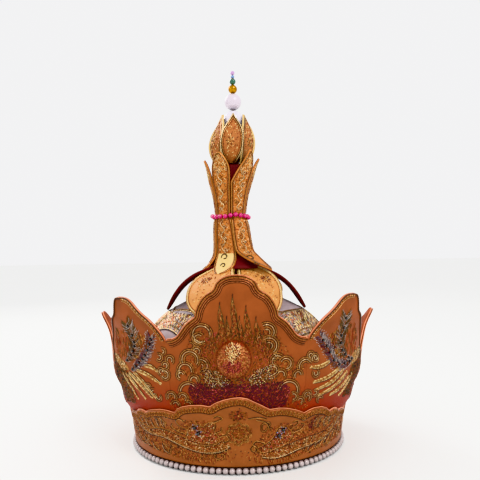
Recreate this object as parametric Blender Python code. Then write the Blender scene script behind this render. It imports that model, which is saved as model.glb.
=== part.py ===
"""A Buddhist monk's crown: an embroidered satin hat with a ring of tall cloud-shaped
panels round a domed cap, a scalloped brim band edged with pearls, and a lotus spire
topped by beads.

The hat stands on the flat rim of its cap. The origin is on the hat's axis at the plane
it stands on, +Z is up, and the front of the hat faces -Y. Left and right are those of
the wearer, so +X is left. All lengths are in metres and all angles in degrees.
"""

import math

import bmesh
import bpy
import numpy as np

# Clearance left between pieces that touch.
GAP = 0.0003

# Edges sharper than this are shaded as creases.
CREASE_ANGLE = 50.0

# Cap: an upright wall with a half ellipsoid on it, open below for the head.
HEAD_RADIUS = 0.0885
CAP_THICKNESS = 0.002
CAP_WALL_HEIGHT = 0.072
CAP_DOME_HEIGHT = 0.065
CAP_TOP_FLAT_RADIUS = 0.017
CAP_SIDES = 28
CAP_DOME_STEPS = 7

# Tier of panels: how thick they are, where their feet stand behind the band, how high the
# front one reaches, and how far the tier leans out from its foot to its widest.
PANEL_THICKNESS = 0.003
TIER_FOOT = 0.014
TIER_TOP = 0.1553
TIER_FLARE = 0.0342

# Brim band and the pearls along its lower edge.
PEARL_DIAMETER = 0.0051
PEARL_STRING_POINTS = 48
BAND_THICKNESS = 0.002
BAND_FRONT_HEIGHT = 0.0573
BAND_SEGMENTS = 60

# Round padded boss in the middle of the front panel.
BOSS_RADIUS = 0.0138
BOSS_DEPTH = 0.0085
BOSS_HEIGHT = 0.093
BOSS_RINGS = 4
BOSS_SIDES = 16

# Spire: its core and the petals that it carries.
CORE_RADIUS = 0.0124
CORE_FLANGE_RADIUS = 0.016
CORE_TOP = 0.2537
CORE_SIDES = 14
PETALS_IN_A_ROW = 6
BASE_PETAL_THICKNESS = 0.002
BASE_PETAL_SLOPE_ROOM = 0.6
BASE_PETAL_ROOT = 0.1605
BASE_PETAL_REACH = 0.0652
BASE_PETAL_COLUMNS = 5
STEM_PETAL_THICKNESS = 0.0018
STEM_LOWER_TIP = 0.1525
STEM_UPPER_TIP = 0.2635
STEM_LOWER_REACH = 0.042
STEM_UPPER_REACH = 0.027
STEM_PETAL_COLUMNS = 4
BUD_PETAL_THICKNESS = 0.0015
BUD_HEIGHT = 0.047
BUD_RADIUS = 0.0213
BUD_PETAL_COLUMNS = 4

# Beads round the waist of the stem petals.
WAIST_HEIGHT = 0.2058
WAIST_BEAD_DIAMETER = 0.0046
WAIST_BEAD_SIDES = 10

# Beads of the finial, threaded on a pin that stands on the core.
PIN_RADIUS = 0.0008
PIN_SIDES = 8
BALL_CENTRE = 0.296
BALL_DIAMETER = 0.0194
TOP_PEARL_DIAMETER = 0.0158
GOLD_BEAD_DIAMETER = 0.0083
GREEN_BEAD_DIAMETER = 0.0061
BLUE_BEAD_DIAMETER = 0.0034
LILAC_BEAD_DIAMETER = 0.0042

# Outer face of the tier: share of the height from its foot to its top, share of its flare,
# and how wide a panel is there below its notches. Its narrow foot stands behind the band.
TIER_PROFILE = (
    (0.000, 0.000, 0.72),
    (0.127, 0.070, 0.76),
    (0.190, 0.190, 1.00),
    (0.347, 0.490, 1.00),
    (0.410, 0.567, 1.00),
    (0.538, 0.637, 1.00),
    (0.646, 0.735, 1.00),
    (0.750, 0.940, 1.00),
    (0.835, 1.000, 1.00),
    (1.000, 1.000, 1.00),
)

# Scalloped crowns of the panels: share of the rise from notch to peak, then the shares of
# the half width on the edge nearer to the front and on the edge further from it.
FRONT_CROWN = (
    (0.00, 1.000, 1.000),
    (0.08, 0.820, 0.820),
    (0.20, 0.720, 0.720),
    (0.31, 0.590, 0.590),
    (0.40, 0.510, 0.510),
    (0.62, 0.435, 0.435),
    (0.73, 0.360, 0.360),
    (0.82, 0.270, 0.270),
    (0.93, 0.180, 0.180),
    (1.00, 0.050, 0.050),
)
WING_CROWN = (
    (0.00, 1.00, 1.00),
    (0.19, 1.00, 0.86),
    (0.38, 1.00, 0.66),
    (0.60, 0.88, 0.37),
    (0.70, 0.78, 0.24),
    (0.78, 0.60, 0.19),
    (0.94, 0.37, 0.14),
    (1.00, 0.10, 0.05),
)
SIDE_CROWN = (
    (0.00, 1.00, 1.00),
    (0.16, 0.98, 0.69),
    (0.38, 0.88, 0.46),
    (0.56, 0.78, 0.16),
    (0.74, 0.67, 0.06),
    (0.89, 0.56, -0.13),
    (1.00, 0.42, -0.34),
)
BACK_CROWN = (
    (0.00, 1.00, 1.00),
    (0.16, 0.84, 0.84),
    (0.36, 0.64, 0.64),
    (0.55, 0.46, 0.46),
    (0.74, 0.38, 0.38),
    (0.90, 0.25, 0.25),
    (1.00, 0.06, 0.06),
)

# Panels round the tier: name, angle of its middle from the front towards the wearer's left,
# half widths towards the front and away from it, notch and peak as shares of the tier's
# top, outline of the crown and columns of faces.
PANELS = (
    ("panel_front", 0.0, 26.9, 26.9, 0.678, 1.000, FRONT_CROWN, 8),
    ("panel_front_left", 45.5, 18.3, 22.2, 0.548, 0.892, WING_CROWN, 6),
    ("panel_front_right", -45.5, 18.3, 22.2, 0.548, 0.892, WING_CROWN, 6),
    ("panel_left", 88.4, 20.3, 20.5, 0.512, 0.771, SIDE_CROWN, 6),
    ("panel_right", -88.4, 20.3, 20.5, 0.512, 0.771, SIDE_CROWN, 6),
    ("panel_back_left", 130.9, 21.6, 21.6, 0.470, 0.612, BACK_CROWN, 6),
    ("panel_back_right", -130.9, 21.6, 21.6, 0.470, 0.612, BACK_CROWN, 6),
    ("panel_back", 180.0, 27.1, 27.1, 0.500, 0.880, BACK_CROWN, 8),
)

# Upper edge of the band: angle from the front, share of the height at the front.
BAND_EDGE = (
    (0.0, 1.000),
    (6.0, 0.945),
    (12.0, 0.860),
    (18.0, 0.848),
    (24.0, 0.795),
    (30.0, 0.735),
    (36.0, 0.752),
    (42.0, 0.690),
    (48.0, 0.670),
    (54.0, 0.595),
    (60.0, 0.560),
    (72.0, 0.505),
    (84.0, 0.490),
    (180.0, 0.490),
)

# Petals that lie over the dome: share of the reach from the core to the tip, share of the
# height from the tip up to the root, half width as a share of half the petals' spacing.
BASE_PETAL = (
    (0.00, 1.000, 0.90),
    (0.33, 0.830, 0.91),
    (0.54, 0.690, 0.93),
    (0.70, 0.520, 0.91),
    (0.83, 0.320, 0.77),
    (0.93, 0.130, 0.47),
    (1.00, 0.000, 0.13),
)

# Lower half of a stem petal, from the waist down to its tip: share of the height from
# the waist, share of the reach from the waist out to the tip, share of half the spacing.
STEM_LOWER = (
    (0.15, 0.080, 0.945),
    (0.59, 0.165, 0.945),
    (0.76, 0.345, 0.870),
    (0.885, 0.590, 0.630),
    (0.96, 0.820, 0.370),
    (1.00, 1.000, 0.120),
)

# Upper half, from the waist up.
STEM_UPPER = (
    (0.15, 0.030, 0.945),
    (0.38, 0.160, 0.945),
    (0.61, 0.420, 0.945),
    (0.76, 0.570, 0.770),
    (0.90, 0.780, 0.430),
    (1.00, 1.000, 0.120),
)

# Bud petals: share of the height from the core, share of the bud's radius, share of half
# the spacing.
BUD_PETAL = (
    (0.00, 0.595, 0.30),
    (0.11, 0.800, 0.63),
    (0.24, 0.945, 0.87),
    (0.40, 1.000, 0.95),
    (0.57, 0.945, 0.93),
    (0.72, 0.820, 0.77),
    (0.84, 0.690, 0.53),
    (0.94, 0.580, 0.27),
    (1.00, 0.535, 0.10),
)


def remove_old_objects():
    for thing in list(bpy.context.scene.objects):
        bpy.data.objects.remove(thing, do_unlink=True)


def surface(name, colour, roughness, metallic=0.0):
    """A plain material in the colour that the piece has."""
    made = bpy.data.materials.new(name)
    made.use_nodes = True
    shader = made.node_tree.nodes["Principled BSDF"]
    shader.inputs["Base Color"].default_value = (*colour, 1.0)
    shader.inputs["Roughness"].default_value = roughness
    shader.inputs["Metallic"].default_value = metallic
    return made


def place(name, bm, material):
    """Turn a bmesh into a named object with its normals out."""
    bmesh.ops.recalc_face_normals(bm, faces=bm.faces)
    mesh = bpy.data.meshes.new(name)
    bm.to_mesh(mesh)
    bm.free()
    mesh.shade_smooth()
    mesh.set_sharp_from_angle(angle=math.radians(CREASE_ANGLE))
    mesh.materials.append(material)
    thing = bpy.data.objects.new(name, mesh)
    bpy.context.collection.objects.link(thing)
    return thing


def ring_point(radius, angle, height):
    """The point at an angle from the front, towards the wearer's left."""
    turn = math.radians(angle)
    return (radius * math.sin(turn), -radius * math.cos(turn), height)


def turned(name, outline, sides, material):
    """Turn a closed outline of (radius, height) points about the hat's axis."""
    bm = bmesh.new()
    points = [bm.verts.new((radius, 0.0, height)) for radius, height in outline]
    edges = [bm.edges.new((points[i - 1], points[i])) for i in range(1, len(points))]
    if outline[0][0] > 0.0:
        edges.append(bm.edges.new((points[-1], points[0])))
    bmesh.ops.spin(bm, geom=points + edges, cent=(0, 0, 0), axis=(0, 0, 1),
                   angle=math.tau, steps=sides, use_merge=True)
    bmesh.ops.remove_doubles(bm, verts=bm.verts, dist=1e-7)
    return place(name, bm, material)


def shell(name, rows, columns, thickness, material):
    """A sheet laid round the hat's axis and thickened inwards.

    Each row is (radius, height, first angle, last angle).
    """
    bm = bmesh.new()
    grid = []
    for radius, height, first, last in rows:
        step = (last - first) / columns
        grid.append([bm.verts.new(ring_point(radius, first + step * i, height)) for i in range(columns + 1)])
    for lower, upper in zip(grid, grid[1:]):
        for i in range(columns):
            bm.faces.new((lower[i], lower[i + 1], upper[i + 1], upper[i]))
    mesh = bpy.data.meshes.new(name)
    bm.to_mesh(mesh)
    bm.free()
    mesh.shade_smooth()
    mesh.materials.append(material)
    thing = bpy.data.objects.new(name, mesh)
    bpy.context.collection.objects.link(thing)
    thicken = thing.modifiers.new("thickness", "SOLIDIFY")
    thicken.thickness = thickness
    thicken.offset = -1.0
    thicken.use_even_offset = True
    return thing


def sphere_outline(radius, bore, centre, steps):
    """Half circle of a bead about its bore, from the bottom up; a bore of 0 closes it."""
    end = math.acos(bore / radius)
    outline = []
    for i in range(steps + 1):
        turn = end * (2.0 * i / steps - 1.0)
        outline.append((max(radius * math.cos(turn), bore), centre + radius * math.sin(turn)))
    if bore == 0.0:
        outline[0] = (0.0, outline[0][1])
        outline[-1] = (0.0, outline[-1][1])
    return outline


def cap_outer_height(radius):
    """Height of the dome's outer face over a radius."""
    outer = HEAD_RADIUS + CAP_THICKNESS
    return CAP_WALL_HEIGHT + CAP_DOME_HEIGHT * math.sqrt(1.0 - (radius / outer) ** 2)


def make_cap(material):
    """One wall from the rim to the top, the same thickness all over."""
    outer = HEAD_RADIUS + CAP_THICKNESS
    outline = [(HEAD_RADIUS, 0.0), (outer, 0.0)]
    flat = math.acos(CAP_TOP_FLAT_RADIUS / outer)
    turns = [flat * i / CAP_DOME_STEPS for i in range(CAP_DOME_STEPS + 1)]
    for turn in turns:
        outline.append((outer * math.cos(turn), CAP_WALL_HEIGHT + CAP_DOME_HEIGHT * math.sin(turn)))
    top = outline[-1][1]
    outline += [(0.0, top), (0.0, top - CAP_THICKNESS)]
    inner_dome = CAP_DOME_HEIGHT - CAP_THICKNESS
    for turn in reversed(turns):
        outline.append((HEAD_RADIUS * math.cos(turn), CAP_WALL_HEIGHT + inner_dome * math.sin(turn)))
    return turned("cap", outline, CAP_SIDES, material)


def tier_knees():
    """Heights of the tier's profile."""
    return [TIER_FOOT + (TIER_TOP - TIER_FOOT) * row[0] for row in TIER_PROFILE]


def tier_radius(height):
    """Radius of the panels' outer face at a height."""
    foot = HEAD_RADIUS + CAP_THICKNESS + GAP + PANEL_THICKNESS
    heights = tier_knees()
    radii = [foot + TIER_FLARE * row[1] for row in TIER_PROFILE]
    if height < heights[0]:
        slope = (radii[1] - radii[0]) / (heights[1] - heights[0])
        return radii[0] + slope * (height - heights[0])
    return float(np.interp(height, heights, radii))


def make_panels(material):
    """Panels side by side round the tier, each with a row of points at every knee."""
    for name, centre, near, far, notch_share, peak_share, crown, columns in PANELS:
        notch = TIER_TOP * notch_share
        peak = TIER_TOP * peak_share
        widths = [(knee, row[2], row[2]) for knee, row in zip(tier_knees(), TIER_PROFILE)
                  if knee < notch - PANEL_THICKNESS]
        widths += [(notch + (peak - notch) * row[0], row[1], row[2]) for row in crown]
        rows = []
        for height, near_width, far_width in widths:
            first, last = centre - near * near_width, centre + far * far_width
            if centre < 0.0:
                first, last = centre - far * far_width, centre + near * near_width
            rows.append((tier_radius(height), height, first, last))
        shell(name, rows, columns, PANEL_THICKNESS, material)


def make_boss(material):
    """A padded dome whose back follows the front panel's face."""
    bm = bmesh.new()
    shares = [ring / BOSS_RINGS for ring in range(1, BOSS_RINGS + 1)]
    levels = [(share, BOSS_DEPTH * math.sqrt(1.0 - share ** 2)) for share in shares]
    levels += [(share, 0.0) for share in reversed(shares[:-1])]
    rows = []
    for share, depth in levels:
        row = []
        for i in range(BOSS_SIDES):
            turn = math.tau * i / BOSS_SIDES
            height = BOSS_HEIGHT + share * BOSS_RADIUS * math.cos(turn)
            face = tier_radius(height) + GAP
            angle = math.degrees(share * BOSS_RADIUS * math.sin(turn) / face)
            row.append(bm.verts.new(ring_point(face + depth, angle, height)))
        rows.append(row)
    seat = tier_radius(BOSS_HEIGHT) + GAP
    top = bm.verts.new(ring_point(seat + BOSS_DEPTH, 0.0, BOSS_HEIGHT))
    back = bm.verts.new(ring_point(seat, 0.0, BOSS_HEIGHT))
    for i in range(BOSS_SIDES):
        j = (i + 1) % BOSS_SIDES
        bm.faces.new((top, rows[0][i], rows[0][j]))
        bm.faces.new((back, rows[-1][j], rows[-1][i]))
        for inner, outer in zip(rows, rows[1:]):
            bm.faces.new((inner[i], outer[i], outer[j], inner[j]))
    return place("boss", bm, material)


def band_foot():
    """Height of the band's lower edge, just over the pearls."""
    return PEARL_DIAMETER + 2.0 * GAP


def band_top(angle):
    """Height of the band's upper edge at an angle from the front."""
    angles = [row[0] for row in BAND_EDGE]
    shares = [row[1] for row in BAND_EDGE]
    share = float(np.interp(abs(angle), angles, shares))
    return band_foot() + BAND_FRONT_HEIGHT * share


def make_band(material):
    """The brim band, outside the feet of the panels, with its scalloped upper edge."""
    # The last knee stays under the lowest stretch of the upper edge.
    knees = (band_foot(), TIER_FOOT, min(tier_knees()[1], band_top(180.0) - GAP))
    bm = bmesh.new()
    columns = []
    for i in range(BAND_SEGMENTS):
        angle = 360.0 * i / BAND_SEGMENTS - 180.0
        heights = (*knees, band_top(angle))
        inner = [tier_radius(height) + GAP for height in heights]
        column = [bm.verts.new(ring_point(r + BAND_THICKNESS, angle, h)) for r, h in zip(inner, heights)]
        column += [bm.verts.new(ring_point(r, angle, h)) for r, h in zip(reversed(inner), reversed(heights))]
        columns.append(column)
    count = len(columns[0])
    for i in range(BAND_SEGMENTS):
        here, there = columns[i], columns[(i + 1) % BAND_SEGMENTS]
        for k in range(count):
            n = (k + 1) % count
            bm.faces.new((here[k], there[k], there[n], here[n]))
    return place("brim_band", bm, material)


def make_pearl_string(material):
    """The string of pearls under the band's lower edge, as a plain ring of their size."""
    ring = tier_radius(band_foot()) + GAP + BAND_THICKNESS
    curve = bpy.data.curves.new("pearl_string", "CURVE")
    curve.dimensions = "3D"
    curve.bevel_depth = PEARL_DIAMETER / 2.0
    curve.bevel_resolution = 2
    curve.use_fill_caps = True
    spline = curve.splines.new("POLY")
    spline.points.add(PEARL_STRING_POINTS - 1)
    for i, point in enumerate(spline.points):
        angle = 360.0 * i / PEARL_STRING_POINTS
        point.co = (*ring_point(ring, angle, GAP + PEARL_DIAMETER / 2.0), 1.0)
    spline.use_cyclic_u = True
    curve.materials.append(material)
    thing = bpy.data.objects.new("pearl_string", curve)
    bpy.context.collection.objects.link(thing)
    return thing


def make_core(material):
    """The tube in the spire, on a flange that stands on the flat of the dome."""
    foot = cap_outer_height(CAP_TOP_FLAT_RADIUS) + GAP
    # The cone over the flange ends halfway up to the roots of the base petals.
    shoulder = (foot + BASE_PETAL_ROOT) / 2.0
    outline = [(0.0, foot), (CORE_FLANGE_RADIUS, foot), (CORE_FLANGE_RADIUS, foot + CAP_THICKNESS),
               (CORE_RADIUS, shoulder), (CORE_RADIUS, CORE_TOP), (0.0, CORE_TOP)]
    return turned("spire_core", outline, CORE_SIDES, material)


def petal_edges(index, share):
    """First and last angle of a petal that takes a share of its place in the row."""
    spacing = 360.0 / PETALS_IN_A_ROW
    return (spacing * (index - share / 2.0), spacing * (index + share / 2.0))


def make_base_petals(material):
    """Petals that spread from the core and come down to rest on the dome."""
    # The sheet slopes at both ends, so only a share of its thickness lies inwards and down.
    room = GAP + BASE_PETAL_SLOPE_ROOM * BASE_PETAL_THICKNESS
    root = CORE_RADIUS + room
    tip_height = cap_outer_height(BASE_PETAL_REACH - BASE_PETAL_THICKNESS) + room
    for index in range(PETALS_IN_A_ROW):
        rows = []
        for reach, rise, width in BASE_PETAL:
            radius = root + (BASE_PETAL_REACH - root) * reach
            height = tip_height + (BASE_PETAL_ROOT - tip_height) * rise
            rows.append((radius, height, *petal_edges(index + 0.5, width)))
        rows.reverse()
        shell(f"base_petal_{index + 1}", rows, BASE_PETAL_COLUMNS, BASE_PETAL_THICKNESS, material)


def make_stem_petals(material):
    """Strips bound at the waist, whose ends turn out above and below."""
    waist = CORE_RADIUS + GAP + STEM_PETAL_THICKNESS
    for index in range(PETALS_IN_A_ROW):
        rows = []
        for drop, reach, width in reversed(STEM_LOWER):
            radius = waist + (STEM_LOWER_REACH - waist) * reach
            height = WAIST_HEIGHT - (WAIST_HEIGHT - STEM_LOWER_TIP) * drop
            rows.append((radius, height, *petal_edges(index + 0.5, width)))
        rows.append((waist, WAIST_HEIGHT, *petal_edges(index + 0.5, STEM_LOWER[0][2])))
        for rise, reach, width in STEM_UPPER:
            radius = waist + (STEM_UPPER_REACH - waist) * reach
            height = WAIST_HEIGHT + (STEM_UPPER_TIP - WAIST_HEIGHT) * rise
            rows.append((radius, height, *petal_edges(index + 0.5, width)))
        shell(f"stem_petal_{index + 1}", rows, STEM_PETAL_COLUMNS, STEM_PETAL_THICKNESS, material)


def make_bud_petals(material):
    """Petals of the bud, on the end of the core and round the ball."""
    for index in range(PETALS_IN_A_ROW):
        rows = []
        for rise, reach, width in BUD_PETAL:
            height = CORE_TOP + GAP + BUD_HEIGHT * rise
            rows.append((BUD_RADIUS * reach, height, *petal_edges(index, width)))
        shell(f"bud_petal_{index + 1}", rows, BUD_PETAL_COLUMNS, BUD_PETAL_THICKNESS, material)


def make_waist_beads(material):
    """A string of round beads fused into one ring that binds the stem petals."""
    bead = WAIST_BEAD_DIAMETER / 2.0
    ring = CORE_RADIUS + GAP + STEM_PETAL_THICKNESS + GAP + bead
    count = int(math.tau * ring / WAIST_BEAD_DIAMETER)
    # Along one bead: share of its pitch, share of its radius.
    rows_of_a_bead = ((0.0, 0.40), (0.27, 0.93), (0.73, 0.93))
    bm = bmesh.new()
    rows = []
    for index in range(count):
        for along, width in rows_of_a_bead:
            angle = 360.0 * (index + along) / count
            row = []
            for side in range(WAIST_BEAD_SIDES):
                turn = math.tau * (side + 0.5) / WAIST_BEAD_SIDES
                radius = ring + bead * width * math.cos(turn)
                height = WAIST_HEIGHT + bead * width * math.sin(turn)
                row.append(bm.verts.new(ring_point(radius, angle, height)))
            rows.append(row)
    for i, here in enumerate(rows):
        there = rows[(i + 1) % len(rows)]
        for k in range(WAIST_BEAD_SIDES):
            n = (k + 1) % WAIST_BEAD_SIDES
            bm.faces.new((here[k], there[k], there[n], here[n]))
    return place("waist_beads", bm, material)


def make_finial(materials):
    """The ball in the bud and the beads over it, threaded on the pin."""
    bore = PIN_RADIUS + GAP
    # Name, diameter, sides, steps from pole to pole.
    beads = (
        ("bud_ball", BALL_DIAMETER, 16, 8),
        ("top_pearl", TOP_PEARL_DIAMETER, 14, 8),
        ("gold_bead", GOLD_BEAD_DIAMETER, 12, 6),
        ("green_bead", GREEN_BEAD_DIAMETER, 12, 5),
        ("blue_bead", BLUE_BEAD_DIAMETER, 10, 4),
    )
    centre = BALL_CENTRE
    for index, (name, diameter, sides, steps) in enumerate(beads):
        if index:
            half_hole = math.sqrt((diameter / 2.0) ** 2 - bore ** 2)
            centre = top + GAP + half_hole
        outline = sphere_outline(diameter / 2.0, bore, centre, steps)
        top = outline[-1][1]
        turned(name, outline, sides, materials[name])
    foot = CORE_TOP + GAP
    pin = [(0.0, foot), (PIN_RADIUS, foot), (PIN_RADIUS, top), (0.0, top)]
    turned("finial_pin", pin, PIN_SIDES, materials["gold_bead"])
    lilac = LILAC_BEAD_DIAMETER / 2.0
    turned("lilac_bead", sphere_outline(lilac, 0.0, top + GAP + lilac, 5), 10, materials["lilac_bead"])


def main():
    remove_old_objects()
    orange = surface("orange_satin", (0.50, 0.17, 0.03), 0.45)
    light_orange = surface("light_orange_satin", (0.78, 0.36, 0.10), 0.45)
    gold_thread = surface("gold_thread", (0.62, 0.38, 0.10), 0.35, 0.6)
    make_cap(surface("grey_satin", (0.22, 0.20, 0.24), 0.5))
    make_panels(orange)
    make_boss(gold_thread)
    make_band(orange)
    pearl = surface("pearl", (0.85, 0.78, 0.76), 0.2)
    make_pearl_string(pearl)
    make_core(surface("maroon_satin", (0.07, 0.006, 0.012), 0.5))
    make_base_petals(light_orange)
    make_stem_petals(surface("stem_satin", (0.58, 0.24, 0.06), 0.45))
    make_bud_petals(light_orange)
    make_waist_beads(surface("magenta_bead", (0.58, 0.01, 0.16), 0.3))
    make_finial({
        "bud_ball": surface("white_glass", (0.82, 0.82, 0.84), 0.15),
        "top_pearl": pearl,
        "gold_bead": surface("gold_bead", (0.60, 0.38, 0.05), 0.2, 1.0),
        "green_bead": surface("green_bead", (0.01, 0.15, 0.07), 0.15),
        "blue_bead": surface("blue_bead", (0.10, 0.18, 0.45), 0.2),
        "lilac_bead": surface("lilac_bead", (0.55, 0.32, 0.55), 0.2),
    })


main()
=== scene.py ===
"""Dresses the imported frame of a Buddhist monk's crown in satin, gold embroidery and beads.

Each operator makes one piece or one group of like pieces. Lengths in the tables are in
millimetres. Angles are in degrees from the front of the hat, towards the wearer's left.
Cloths, threads and beads go by short words, which the table FINISHES spells out.
"""

import math

import bpy
import numpy as np
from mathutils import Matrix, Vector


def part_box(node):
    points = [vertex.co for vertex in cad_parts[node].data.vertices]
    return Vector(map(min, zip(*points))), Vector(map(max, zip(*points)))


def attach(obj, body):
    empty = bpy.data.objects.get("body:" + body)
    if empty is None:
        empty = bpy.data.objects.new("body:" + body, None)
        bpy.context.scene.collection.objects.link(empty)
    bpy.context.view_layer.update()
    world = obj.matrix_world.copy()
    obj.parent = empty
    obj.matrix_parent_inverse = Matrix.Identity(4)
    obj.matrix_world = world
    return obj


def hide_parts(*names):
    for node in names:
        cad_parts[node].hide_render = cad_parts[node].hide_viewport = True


bl_info = {
    "name": "Monk's crown maker",
    "version": (1, 0, 0),
    "blender": (4, 5, 0),
    "location": "View3D > Sidebar > Crown",
    "description": "Dresses the packed crown in satin, gold embroidery, pearls and beads",
    "category": "Add Mesh",
}

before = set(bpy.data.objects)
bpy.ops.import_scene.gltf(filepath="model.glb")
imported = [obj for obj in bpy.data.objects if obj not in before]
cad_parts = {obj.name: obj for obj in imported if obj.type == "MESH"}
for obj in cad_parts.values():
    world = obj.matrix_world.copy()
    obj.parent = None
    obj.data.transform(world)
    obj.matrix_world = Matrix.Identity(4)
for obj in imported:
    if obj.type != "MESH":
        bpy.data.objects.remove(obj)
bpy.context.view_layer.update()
MM = 0.001
BODY = "root"

# Threads bend at points this far apart. A cord's strands really turn once in 1.5 mm, too
# fine to show, so they are drawn turning once in a TWIST.
STEP = 0.8
TWIST = 3.6

# Real couched lines are 1 mm apart, too close to show, so arcs are drawn this far apart.
RING_PITCH = 1.7

# Steps between points along the cloth: its profile, panels' edges, petals' edges.
PROFILE_STEP, PANEL_STEP, PETAL_STEP = 0.7, 1.5, 1.4

# One seed for the small irregularities of each group of pieces.
SEEDS = {"cap": 17, "front": 11, "wings": 23, "lotus": 53, "boss": 5, "band": 31, "base": 41,
         "stem": 43, "bud": 47}

# Outer face of the tier of panels and of the band: radius and height.
TIER_ROWS = (
    (92.6, 5), (93.8, 14), (96.2, 32), (100.3, 41), (110.6, 63), (113.2, 72), (115.6, 90),
    (118.9, 105.3), (125.9, 120), (128, 132), (128, 155.3))
BAND_ROWS = 7
BAND_GAP = 2.3

# Outlines of the panels from the foot to the peak: height and half width, or height, width
# nearer to the front and width further from it, in degrees from the panel's own middle.
FRONT_OUTLINE = (
    (14, 19.4), (32, 20.4), (38, 27), (60, 27), (90, 27), (105.4, 27), (107.2, 24.4),
    (109.6, 21.9), (114.4, 19.6), (119.6, 17.3), (122.8, 15.4), (125.2, 13.9), (128.8, 13.5),
    (133.2, 12.7), (138, 11.4), (141.6, 9.8), (143.6, 8.1), (146, 7.2), (149.4, 6.6),
    (152.2, 5.3), (154, 3.8), (155, 2.2), (155.3, 0.7))
WING_OUTLINE = (
    (14, 13.2, 16), (32, 13.9, 16.8), (38, 18.4, 22.1), (60, 18.4, 22.1), (85, 18.4, 22.1),
    (88.5, 18.4, 20.2), (93.5, 18.4, 18.9), (99, 18.4, 17.6), (105.3, 18.4, 14.9),
    (109.6, 17.8, 12.6), (116.5, 16, 8.6), (121.4, 14.2, 6.6), (124.4, 12.4, 4.6),
    (127.4, 10.6, 4), (131, 8.6, 3.8), (135.2, 6.4, 3.3), (137.6, 4.2, 2.4), (138.5, 1.8, 0.6))
SIDE_OUTLINE = (
    (14, 14.6, 14.8), (32, 15.4, 15.6), (38, 20.2, 20.4), (60, 20.2, 20.4), (79.5, 20.2, 20.4),
    (82, 20.1, 17), (85.9, 19.9, 14.1), (89.5, 19, 12.8), (92.5, 18.3, 11.4), (95.5, 17.6, 8.4),
    (98.5, 16.8, 4.8), (102, 15.8, 3.3), (106, 14.8, 2.4), (109.2, 13.6, 1.2),
    (112.2, 12.6, -1.2), (115.3, 11.4, -2.7), (117.8, 10.2, -4.6), (119.2, 9.2, -6.2),
    (119.7, 8.5, -7))
BACK_SIDE_OUTLINE = (
    (14, 15.5), (32, 16.4), (38, 21.4), (60, 21.4), (73, 21.4), (74.6, 19.4), (77.2, 16.4),
    (81, 13), (85.6, 10.4), (89.6, 8.8), (92.8, 5.9), (94.5, 2.8), (95, 0.8))
BACK_OUTLINE = (
    (14, 19.5), (32, 20.6), (38, 26.9), (60, 27), (77.7, 27), (80.6, 24.8), (86, 21.6),
    (94, 19.4), (100, 15.8), (106, 12.9), (112.6, 11.8), (120, 10.4), (126.8, 7.9), (132.6, 5.4),
    (135.8, 2.9), (136.7, 0.9))

# Panels: node, angle of the middle, side of the mirrored outline, outline, heights of the
# notches nearer to the front and further from it, how far the peak leans out.
PANELS = (
    ("panel_front", 0, 1, FRONT_OUTLINE, 105.4, 105.4, 0),
    ("panel_front_left", 45.5, 1, WING_OUTLINE, 104, 85, 0),
    ("panel_front_right", -45.5, -1, WING_OUTLINE, 104, 85, 0),
    ("panel_left", 88.4, 1, SIDE_OUTLINE, 79.5, 79.5, -1),
    ("panel_right", -88.4, -1, SIDE_OUTLINE, 79.5, 79.5, -3),
    ("panel_back_left", 130.9, 1, BACK_SIDE_OUTLINE, 73, 73, 0),
    ("panel_back_right", -130.9, -1, BACK_SIDE_OUTLINE, 73, 73, 0),
    ("panel_back", 180, 1, BACK_OUTLINE, 77.7, 77.7, 0),
)
FRONT_PANELS = ("panel_front", "panel_front_left", "panel_front_right")

# A mark below every cloth, for sheets with no notch or no free end.
NOWHERE = -1e3
NO_NOTCH = (NOWHERE, NOWHERE)

# Material slots of a sewn sheet.
FACE, RIM, BACK, FREE_END = range(4)

# Upper edge of the band: angle and height. Scallops end in cusps; both sides of the front
# differ a little.
BAND_FRONT = (
    (-71, 33.4), (-66, 36.6), (-61, 38), (-57.5, 38.6), (-54.5, 42.4), (-51.6, 43.9), (-49, 44.4),
    (-46.4, 43.6), (-43.6, 45.8), (-40.4, 47.4), (-35.2, 49.2), (-31.7, 49.4), (-28, 48.3),
    (-25.8, 51.9), (-23.3, 54.3), (-19.7, 56), (-14.8, 57), (-11.2, 56), (-8.6, 59.4),
    (-5.5, 61.8), (-2.4, 63.4), (0.6, 63.9), (3.4, 62.9), (5.7, 60.4), (9.5, 56.4), (12.8, 52.6),
    (16.6, 53.2), (20.3, 52.3), (25.3, 49.4), (29.7, 45.8), (31.8, 47.6), (34.6, 48.6),
    (39.3, 48), (43.3, 45.3), (46.8, 41.8), (49.6, 43), (53.2, 41.6), (56.4, 38.4), (61, 37.8),
    (66, 36.2), (71, 33.2))
BAND_BACK = (
    (76, 34.8), (84, 35.2), (92, 32.6), (98, 34.6), (106, 35), (114, 32.4), (121, 34.6),
    (130, 35), (138, 32.4), (145, 34.8), (154, 35.2), (162, 32.6), (170, 35), (180, 35.6))
BAND_MIRRORED = tuple((-angle, height) for angle, height in reversed(BAND_BACK))
BAND_EDGE = BAND_MIRRORED + BAND_FRONT + BAND_BACK

# The cap: radius, height where its side turns into the dome, rise of the dome. Arches of
# couched thread stand round it, this many degrees apart.
CAP_RADIUS, CAP_SIDE, CAP_RISE = 90.5, 72.0, 65.0
ARCH_PITCH, ARCH_START = 36.0, 68.0
GORE = 30.0

# The boss on the front panel: angle and height of its middle, radius, shares of it across
# and upwards, how far it stands out, and how far its edge does.
BOSS = (-1.2, 93.2)
BOSS_RADIUS, BOSS_SHARES, BOSS_DEPTH, BOSS_FOOT = 13.9, np.array([0.94, 1.04]), 8.6, 0.3

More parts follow.
